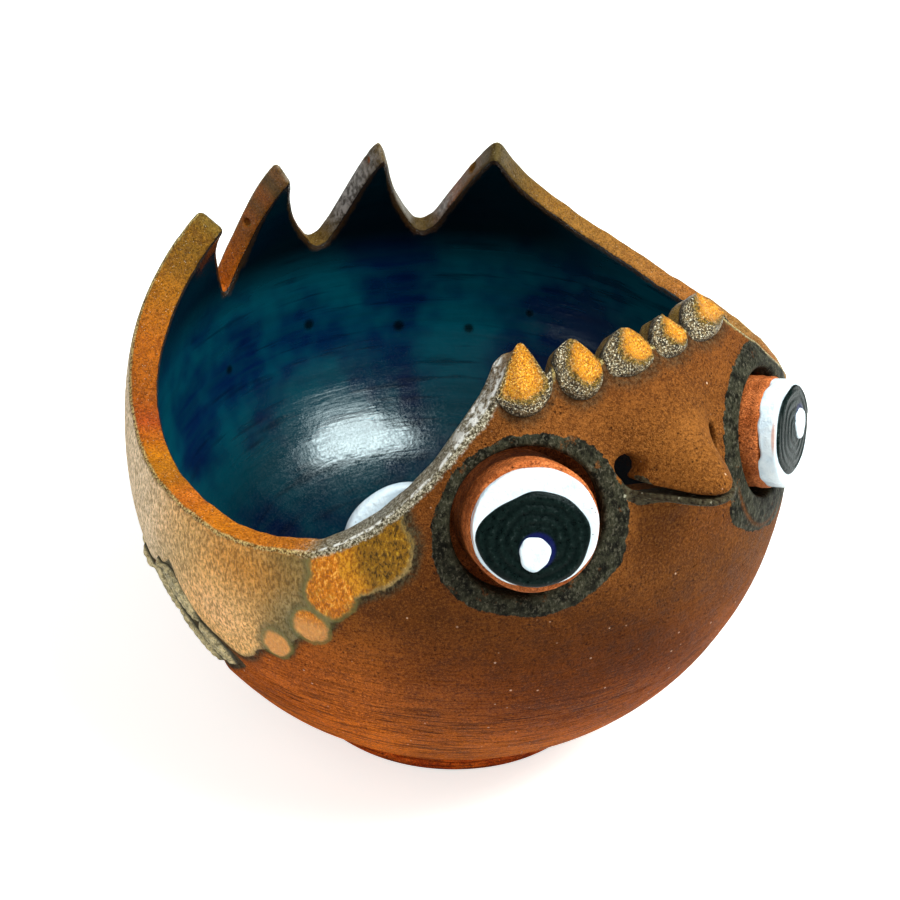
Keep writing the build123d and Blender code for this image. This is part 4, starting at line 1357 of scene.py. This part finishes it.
def lathe(outline, segments, warp=lambda r, turn, z: (r, z)):
    """Turn a profile that starts and ends on the axis round Z; warp makes it uneven."""
    turn = np.linspace(0, 2 * pi, segments, endpoint=False)
    r, turn = np.meshgrid(outline[:, 0], turn, indexing="ij")
    r, z = warp(r, turn, np.repeat(outline[:, 1][:, None], segments, 1))
    verts = np.stack([r * np.cos(turn), r * np.sin(turn), z], -1)[1:-1].reshape(-1, 3)
    verts = np.concatenate([verts, [[0, 0, z[0, 0]], [0, 0, z[-1, 0]]]])
    return verts, ring_faces(len(outline) - 2, segments)


def puddle(outline, centre, z, thick, segments, rings, edge):
    """A thick puddle with outline(turn) as its radius, a rounded edge and a flat back."""
    x0, y0 = centre
    turn = np.linspace(0, 2 * pi, segments, endpoint=False)
    reach = outline(turn)
    steps = np.concatenate([np.linspace(0, .85, rings)[1:], np.linspace(.85, 1, 9)[1:]])
    loops = []
    for t in steps:
        inwards = np.clip((1 - t) * reach / edge, 0, 1)
        dome = thick * np.sqrt(np.clip(1 - (1 - inwards) ** 2, 0, 1))
        loops.append(np.stack([x0 + reach * t * np.cos(turn), y0 + reach * t * np.sin(turn),
                               z + dome * (.82 + .18 * np.cos(t * 2.2))], -1))
    back = z - .25
    loops.append(np.stack([x0 + reach * np.cos(turn), y0 + reach * np.sin(turn),
                           np.full(segments, back)], -1))
    verts = np.concatenate(loops + [np.array([[x0, y0, z + thick], [x0, y0, back]])])
    # wound the other way, as these rings run outwards under the top
    faces = [(face[0],) + face[:0:-1] for face in ring_faces(len(loops), segments)]
    return verts, faces


def build_foot():
    def uneven(r, turn, z):
        waves = (.10 * np.sin(3 * turn + 1) + .06 * np.sin(7 * turn + z)
                 + .05 * np.sin(z * 4.2 + turn) + .04 * np.sin(z * 9 + 2 * turn))
        new_r = r + waves * ease(30, 37, r) * np.where(r > 39.95, .3, 1)
        rings = .10 * np.sin(r / .8 + turn) * ease(33, 30, r)
        new_z = z + np.where((z < .5) & (r < 33), rings, 0)
        return np.minimum(new_r, 40.05), np.maximum(new_z, 0.0)

    outline = profile([(0, .35, 0), (31, .28, 1), (34, 0, .5), (39.2, 0, .8), (40.0, .8, .5),
                       (39.9, 3.2, .6), (39.3, 6.2, .4), (36.5, 6.9, .5), (30, 4.5, .5),
                       (0, 3.0, 0)], span=.55)
    ob = make_mesh("foot_disc", *lathe(outline, 360, uneven))
    mat = Shader("foot_clay")
    cloud = mat.noise(size=5, detail=2, rough=.6, seed=90)
    base = cloud.blend(.35, .68, rgb(176, 66, 12), rgb(214, 96, 24))
    colour, rough, relief = terracotta(mat, base, 1.0)
    material = mat.done(colour, rough - .12, relief.bump(.35), Specular_IOR_Level=.12)
    register(ob, [material], "bowl", "foot", "foot")


build_foot()


# ---------------------------------------------------------------- eyes
def eye_frame(side, plug=True):
    """Axes (rows x, y, outwards) and origin of an eye's plug, or of its hole."""
    eye = EYES[side]
    az, el = (eye["plug_az"], eye["plug_el"]) if plug else (eye["az"], eye["el"])
    out = direction(side, az, el)
    x = np.array([cos(radians(az)), side * sin(radians(az)), 0])
    shift = hole_axis(side) * PIVOT - out * PIVOT if plug else 0
    return np.array([x, np.cross(out, x), out]), np.array([0, 0, CENTRE_Z]) + shift


def eye_to_world(verts, side, plug=True):
    axes, origin = eye_frame(side, plug)
    return verts @ axes + origin


def white_material():
    mat = Shader("white_tin_glaze")
    cloud, grain = mat.noises((3.5, 3, .6, 100), (.8, 2, .6, 101))
    colour = mat.paint(cloud.blend(.3, .7, rgb(206, 222, 232), rgb(228, 238, 242)),
                       (mat.attr("wear"), .35, .8, 0, .75, rgb(190, 130, 104)))
    pick = mat.noise(size=3, detail=1, rough=.5, seed=102)
    pinhole = mat.cells(1.7).step(.12, .05) * pick.step(.52, .60)
    colour = mat.mix(pinhole * .8, colour, rgb(112, 88, 78))
    return mat.done(colour, grain.step(.3, .7, .12, .26), grain.bump(.14, cloud.bump(.45)),
                    Coat_Weight=.5, Coat_Roughness=.08)


def pupil_material():
    mat = Shader("pupil_dark_glaze")
    brush = mat.attr("brush")
    grain = mat.noise(size=.8, detail=3, rough=.7, seed=110)
    streaks = brush * .16 + grain * .84
    colour = streaks.blend(.30, .80, rgb(3, 12, 11), rgb(14, 28, 25))
    colour = mat.mix(streaks.step(.62, .78) * mat.attr("pale"), colour, rgb(122, 134, 132))
    colour = mat.paint(colour, (grain, .40, .28, 0, .8, rgb(1, 3, 3)))
    colour = mat.mix(mat.attr("blue"), colour, rgb(16, 20, 74))
    return mat.done(colour, grain.step(.3, .7, .26, .40), grain.bump(.16, brush.bump(.10)),
                    Specular_IOR_Level=.12)


def stem_material():
    mat = Shader("eye_stem_clay")
    cloud = mat.noise(size=4, detail=2, rough=.6, seed=120)
    base = cloud.blend(.35, .66, (.34, .080, .016), (.48, .130, .032))
    colour, rough, relief = terracotta(mat, base, .25)
    return mat.done(colour, rough, relief.bump(.45), Specular_IOR_Level=.10)


white, dark, stem_clay = white_material(), pupil_material(), stem_material()


def eye_piece(side, part, suffix, shape, material, **attributes):
    """Place one part of an eye; suffix completes the object's name."""
    word = dict(SIDES)[side]
    verts, faces = shape
    ob = make_mesh(f"{word}_eye_{part}{suffix}", eye_to_world(verts, side), faces)
    for name, values in attributes.items():
        put(ob, name, values)
    return ob, [material], word + "_eye"


def build_flange(side, eye):
    radius, phase = eye["flange"], eye["phase"]

    def uneven(r, turn, z):
        return (r - .12 * (1 + np.sin(3 * turn + phase)) * ease(12, 17, r),
                z + .08 * np.sin(2 * turn + r * .3) * ease(1, 6, r) * (z < FLANGE_FACE - 1))

    outline = profile([(0, FLANGE_BACK, 0), (radius - .2, FLANGE_BACK, 1.3),
                       (radius, FLANGE_BACK + 2, 1.2), (radius - .2, FLANGE_FACE, .9),
                       (11, FLANGE_FACE, .2), (0, FLANGE_FACE, 0)], span=1.0)
    return eye_piece(side, "flange", "_disc", lathe(outline, 160, uneven), stem_clay)


def build_stem(side, eye):
    radius, bare = eye["stem"], eye["bare"]

    def uneven(r, turn, z):
        waves = .07 * np.sin(z * 2.6 + turn) + .06 * np.sin(5 * turn + z)
        return r + waves * ease(8, 12, r), z

    outline = profile([(0, FLANGE_FACE - 1, 0), (radius + .3, FLANGE_FACE - 1, .2),
                       (radius + .2, FLANGE_FACE + 2, 1), (radius, FLANGE_FACE + 4, 1),
                       (radius - .05, bare - .1, .9), (radius - 1.2, bare + .3, .3),
                       (0, bare + .3, 0)], span=.6)
    return eye_piece(side, "stem", "", lathe(outline, 200, uneven), stem_clay)


def build_white(side, eye):
    """A thick dip over the stem's end, with a ragged lower edge."""
    bare, front, cap, phase = eye["bare"], eye["front"], eye["cap"], eye["phase"]

    def ragged(r, turn, z):
        waves = (.30 * np.sin(3 * turn + phase) + .26 * np.sin(5 * turn + 2 * phase)
                 + .22 * np.sin(9 * turn + phase) + .14 * np.sin(17 * turn))
        edge = ease(bare + 1.4, bare + .2, z) * ease(10.0, 11.0, r)
        new_z = z + waves * edge * eye["ragged"]
        lumps = .07 * np.sin(4 * turn + phase) + .05 * np.sin(11 * turn)
        new_r = r + lumps * ease(9, 11, r)
        new_r = new_r * (1 - eye["oval"] * np.sin(turn) ** 2 * ease(9, 11, new_r))
        face = ease(11.5, 6, r) * (z > front - .6)
        return new_r, np.minimum(new_z + .08 * np.sin(2 * turn + phase) * face, front)

    def ragged_by_station(r, turn, z):
        """As ragged, but the oval is judged by the radius before the lumps."""
        waves = (.30 * np.sin(3 * turn + phase) + .26 * np.sin(5 * turn + 2 * phase)
                 + .22 * np.sin(9 * turn + phase) + .14 * np.sin(17 * turn))
        edge = ease(bare + 1.4, bare + .2, z) * ease(10.0, 11.0, r)
        new_z = z + waves * edge * eye["ragged"]
        lumps = .07 * np.sin(4 * turn + phase) + .05 * np.sin(11 * turn)
        outer = ease(9, 11, r)
        new_r = (r + lumps * outer) * (1 - eye["oval"] * np.sin(turn) ** 2 * outer)
        face = ease(11.5, 6, r) * (z > front - .6)
        return new_r, np.minimum(new_z + .08 * np.sin(2 * turn + phase) * face, front)

    ragged = ragged_by_station
    outline = profile([(0, bare + .1, 0), (cap - .6, bare + .1, .1), (cap - .1, bare - .15, .2),
                       (cap + .10, bare + .3, .2), (cap + .05, front - .7, .6),
                       (cap - .15, front, .7), (cap - 3, front - .10, .8),
                       (0, front - .05, 0)], span=.42)
    verts, faces = lathe(outline, 260, ragged)
    r, turn = np.hypot(verts[:, 0], verts[:, 1]), np.arctan2(verts[:, 1], verts[:, 0])
    wear = (bell(r, cap - .25, .5) * bell(verts[:, 2], front - .5, .5)
            * (.5 + .5 * np.sin(3 * turn + phase)) ** 2)
    return eye_piece(side, "white", "_coat", (verts, faces), white, wear=wear)


def build_pupil(side, eye):
    front, phase = eye["front"], eye["phase"]
    (x0, y0), (half_x, half_y), (limit_x, limit_y) = eye["pupil"], eye["pupil_half"], eye["limit"]

    def outline(turn):
        """The pupil's own outline, kept inside the white's edge."""
        off = np.mod(turn - 2.35 + pi, 2 * pi) - pi
        wavy = 1 + sum(size * np.sin(lobes * turn + lag) for size, lobes, lag in eye["waves"])
        wavy = wavy - eye["dip"] * bell(off, 0, .45)
        own = wavy / np.sqrt((np.cos(turn) / half_x) ** 2 + (np.sin(turn) / half_y) ** 2)
        ux, uy = np.cos(turn) / limit_x, np.sin(turn) / limit_y
        a, b = ux * ux + uy * uy, ux * x0 / limit_x + uy * y0 / limit_y
        c = (x0 / limit_x) ** 2 + (y0 / limit_y) ** 2 - .955
        return np.minimum(own, (-b + np.sqrt(np.maximum(b * b - a * c, 0))) / a)

    verts, faces = puddle(outline, (x0, y0), z=front - .1, thick=.85, segments=240, rings=30,
                          edge=.9)
    r = np.hypot(verts[:, 0] - x0, verts[:, 1] - y0)
    turn = np.arctan2(verts[:, 1] - y0, verts[:, 0] - x0)
    # brush marks in rough circles
    marks = (r * 3.3 + .9 * np.sin(turn * 2 + phase) + .5 * np.sin(turn * 5 + 1)
             + 1.3 * np.sin(turn + phase))
    relief = .04 * np.sin(marks) + .03 * np.sin(marks * 2.2 + turn * 3)
    relief = eye["brush_relief"] * relief * ease(.5, 2.5, r)
    verts[:, 2] += np.where(verts[:, 2] > front + .2, relief, 0)
    verts[:, 2] = np.minimum(verts[:, 2], front + .89)
    # a blue disc set off a little from the sparkle dot
    dot_x, dot_y = eye["dot"]
    from_dot = np.hypot(verts[:, 0] - dot_x - .55, verts[:, 1] - dot_y - .55)
    return eye_piece(side, "pupil", "_glaze", (verts, faces), dark,
                     brush=.5 + .5 * np.sin(marks) * ease(.5, 2.5, r),
                     pale=np.full(len(verts), eye["pale"]),
                     blue=np.clip(ease(3.6, 3.1, from_dot), 0, 1) * .75)


def build_sparkle(side, eye):
    def outline(turn):
        return 3.05 * (1 + .05 * np.sin(2 * turn + eye["phase"]) + .05 * np.sin(3 * turn + 1)
                       + .02 * np.sin(7 * turn))

    shape = puddle(outline, eye["dot"], z=eye["front"] + .80, thick=.62, segments=96, rings=12,
                   edge=.8)
    return eye_piece(side, "sparkle", "_dot", shape, white, wear=np.zeros(len(shape[0])))


for side, word in SIDES:
    for part, build in (("flange", build_flange), ("barrel", build_stem), ("white", build_white),
                        ("pupil", build_pupil), ("sparkle", build_sparkle)):
        register(*build(side, EYES[side]), "eye_" + part, f"{word}_eye_{part}")


def build_pad():
    """White pad inside the wall beside the left eye, on a short stub, clear of the flange."""
    pad_x, pad_y = -20.3, -7.8
    hole_axes, hole_origin = eye_frame(LEFT, plug=False)
    plug_axes, plug_origin = eye_frame(LEFT)
    # where the plug's axis passes the pad, in the hole's frame
    axis = hole_axes @ (plug_origin + plug_axes[2] * 60.1 - hole_origin)
    clearance = EYES[LEFT]["flange"] + 1.3

    def outline(turn):
        dx, dy = axis[0] - pad_x, axis[1] - pad_y
        towards = np.cos(turn) * dx + np.sin(turn) * dy
        root = towards * towards - (dx * dx + dy * dy - clearance ** 2)
        hit = np.where((root > 0) & (towards > 0),
                       towards - np.sqrt(np.maximum(root, 0)), 99)
        own = 13.45 * (1 + .006 * np.sin(3 * turn) + .004 * np.sin(8 * turn)) - .1
        return np.minimum(own, np.maximum(hit, .8))

    def within(verts, reach):
        """Pull vertices in to the inner wall."""
        length = np.linalg.norm(verts, axis=1)
        return verts * np.where(length > reach, reach / length, 1.0)[:, None]

    pad, pad_faces = puddle(outline, (pad_x, pad_y), z=58.95, thick=2.5, segments=240, rings=26,
                            edge=1.0)
    pad = within(pad, INNER_RADIUS - .3)
    stub, stub_faces = lathe(profile([(0, 60.5, 0), (4.2, 60.5, 0), (4.3, 64, 0),
                                      (4.5, 65.6, 0), (0, 65.6, 0)], span=.7), 60)
    stub = stub + np.array([-25.5, -9.5, 0])
    stub_faces = [tuple(i + len(pad) for i in face) for face in stub_faces]
    verts = within(np.concatenate([pad, stub]), INNER_RADIUS - .1)
    ob = make_mesh("inner_pad_disc", eye_to_world(verts, LEFT, plug=False),
                   pad_faces + stub_faces)
    put(ob, "wear", np.zeros(len(verts)))
    register(ob, [white], "bowl", "inner_pad", "inner_pad")


build_pad()


# ---------------------------------------------------------------- stage, camera, light (metres)
def build_floor():
    bpy.ops.mesh.primitive_plane_add(size=6, location=(0, 0, -.00005))
    floor = bpy.context.object
    floor.name = "studio_floor"
    mat = Shader("studio_floor_paper")
    cloud = mat.noise(size=40, detail=2, rough=.5, seed=200)
    colour = cloud.blend(.3, .7, (.80, .81, .79), (.83, .835, .82))
    seen = Signal(mat, mat.add("LightPath").outputs["Is Camera Ray"])
    floor.data.materials.append(mat.done(
        colour, .65, Specular_IOR_Level=.2, Emission_Color=(1.0, 1.0, .97, 1),
        Emission_Strength=seen * .62))


def build_world():
    """White for the camera, a soft fill for matt surfaces, nearly dark in reflections."""
    world = bpy.data.worlds.new("studio")
    bpy.context.scene.world = world
    world.use_nodes = True
    tree = world.node_tree
    background = tree.nodes["Background"]
    background.inputs["Color"].default_value = (.97, .985, 1.0, 1)
    rays = tree.nodes.new("ShaderNodeLightPath")
    seen = tree.nodes.new("ShaderNodeMapRange")
    seen.inputs["To Min"].default_value = .42
    seen.inputs["To Max"].default_value = 1.05
    strength = tree.nodes.new("ShaderNodeMapRange")
    strength.inputs["To Max"].default_value = .05
    tree.links.new(rays.outputs["Is Camera Ray"], seen.inputs["Value"])
    tree.links.new(rays.outputs["Is Glossy Ray"], strength.inputs["Value"])
    tree.links.new(seen.outputs[0], strength.inputs["To Min"])
    tree.links.new(strength.outputs[0], background.inputs["Strength"])


CAMERA_AZ, CAMERA_EL, CAMERA_ROLL = radians(-36.0), radians(34.0), radians(2.4)
CAMERA_DISTANCE = .375                # from the sphere's centre
centre = Vector((0, 0, CENTRE_Z / 1000))
towards_camera = Vector((cos(CAMERA_EL) * sin(CAMERA_AZ), -cos(CAMERA_EL) * cos(CAMERA_AZ),
                         sin(CAMERA_EL)))


def build_camera():
    data = bpy.data.cameras.new("cam")
    data.sensor_width = 36.0
    data.lens = 65.176023
    data.shift_x, data.shift_y = -.0087777778, -.024444444
    camera = bpy.data.objects.new("cam", data)
    aim = towards_camera.to_track_quat("Z", "Y").to_matrix().to_4x4()
    camera.matrix_world = (Matrix.Translation(centre + towards_camera * CAMERA_DISTANCE) @ aim
                           @ Matrix.Rotation(CAMERA_ROLL, 4, "Z"))
    bpy.context.scene.collection.objects.link(camera)
    bpy.context.scene.camera = camera


def area_light(name, width, height, power, colour=(1, 1, 1)):
    data = bpy.data.lights.new(name, "AREA")
    data.shape = "RECTANGLE"
    data.size, data.size_y, data.energy, data.color = width, height, power, colour
    light = bpy.data.objects.new(name, data)
    bpy.context.scene.collection.objects.link(light)
    return light


def build_key_lights():
    """The soft box over the bowl: its even light, and three panes that show in the glaze."""
    side_axis, up_axis = np.array([-.938, -.347, 0]), np.array([-.290, .783, .550])
    normal = np.array([.191, -.516, .835])
    middle = np.array([183.2, -408.0, 713.4]) - 129.0 * side_axis - 19.5 * up_axis
    middle = (middle + np.array([0, 0, CENTRE_Z])) / 1000
    spin = radians(22.0)
    x_axis = side_axis * cos(spin) + up_axis * sin(spin)
    y_axis = -(-side_axis * sin(spin) + up_axis * cos(spin))
    warm, cool = (1, .93, .88), (.80, .98, 1)
    # name, width, height, power, colour, offsets along the box's own x and y
    for name, width, height, power, colour, x, y in (
            ("key", .57, .36, 5.2, warm, 0, 0), ("pane_low", .430, .164, 4.7, cool, .045, -.071),
            ("pane_up", .320, .098, 2.0, cool, .040, .080),
            ("pane_top", .300, .090, .35, cool, .010, .190)):
        light = area_light(name, width, height, power, colour)
        place = middle + x_axis * x + y_axis * y
        rows = [tuple(row) for row in zip(x_axis, y_axis, normal, place)]
        light.matrix_world = Matrix(rows + [(0, 0, 0, 1)])
        if name == "key":
            light.visible_glossy = False


def build_soft_lights():
    """A fill from the camera's side and a light from its right, both unseen in reflections."""
    right = Vector((cos(CAMERA_AZ), sin(CAMERA_AZ), 0))
    forward = Vector((-towards_camera.x, -towards_camera.y, 0)).normalized()
    fill_place = centre - forward * .9 - right * .4 + Vector((0, 0, .9))
    side_place = centre + right * 1.0 + forward * .3 + Vector((0, 0, .7))
    for name, place, width, height, power in (("fill", fill_place, 1.3, 1.0, 5.0),
                                              ("side", side_place, .9, .9, 3.0)):
        light = area_light(name, width, height, power)
        light.location = place
        light.rotation_euler = (centre - place).to_track_quat("-Z", "Y").to_euler()
        light.visible_glossy = False


build_floor()
build_world()
build_camera()
build_key_lights()
build_soft_lights()
view = bpy.context.scene.view_settings
view.view_transform = "Standard"
view.look = "None"
view.exposure = 0.0
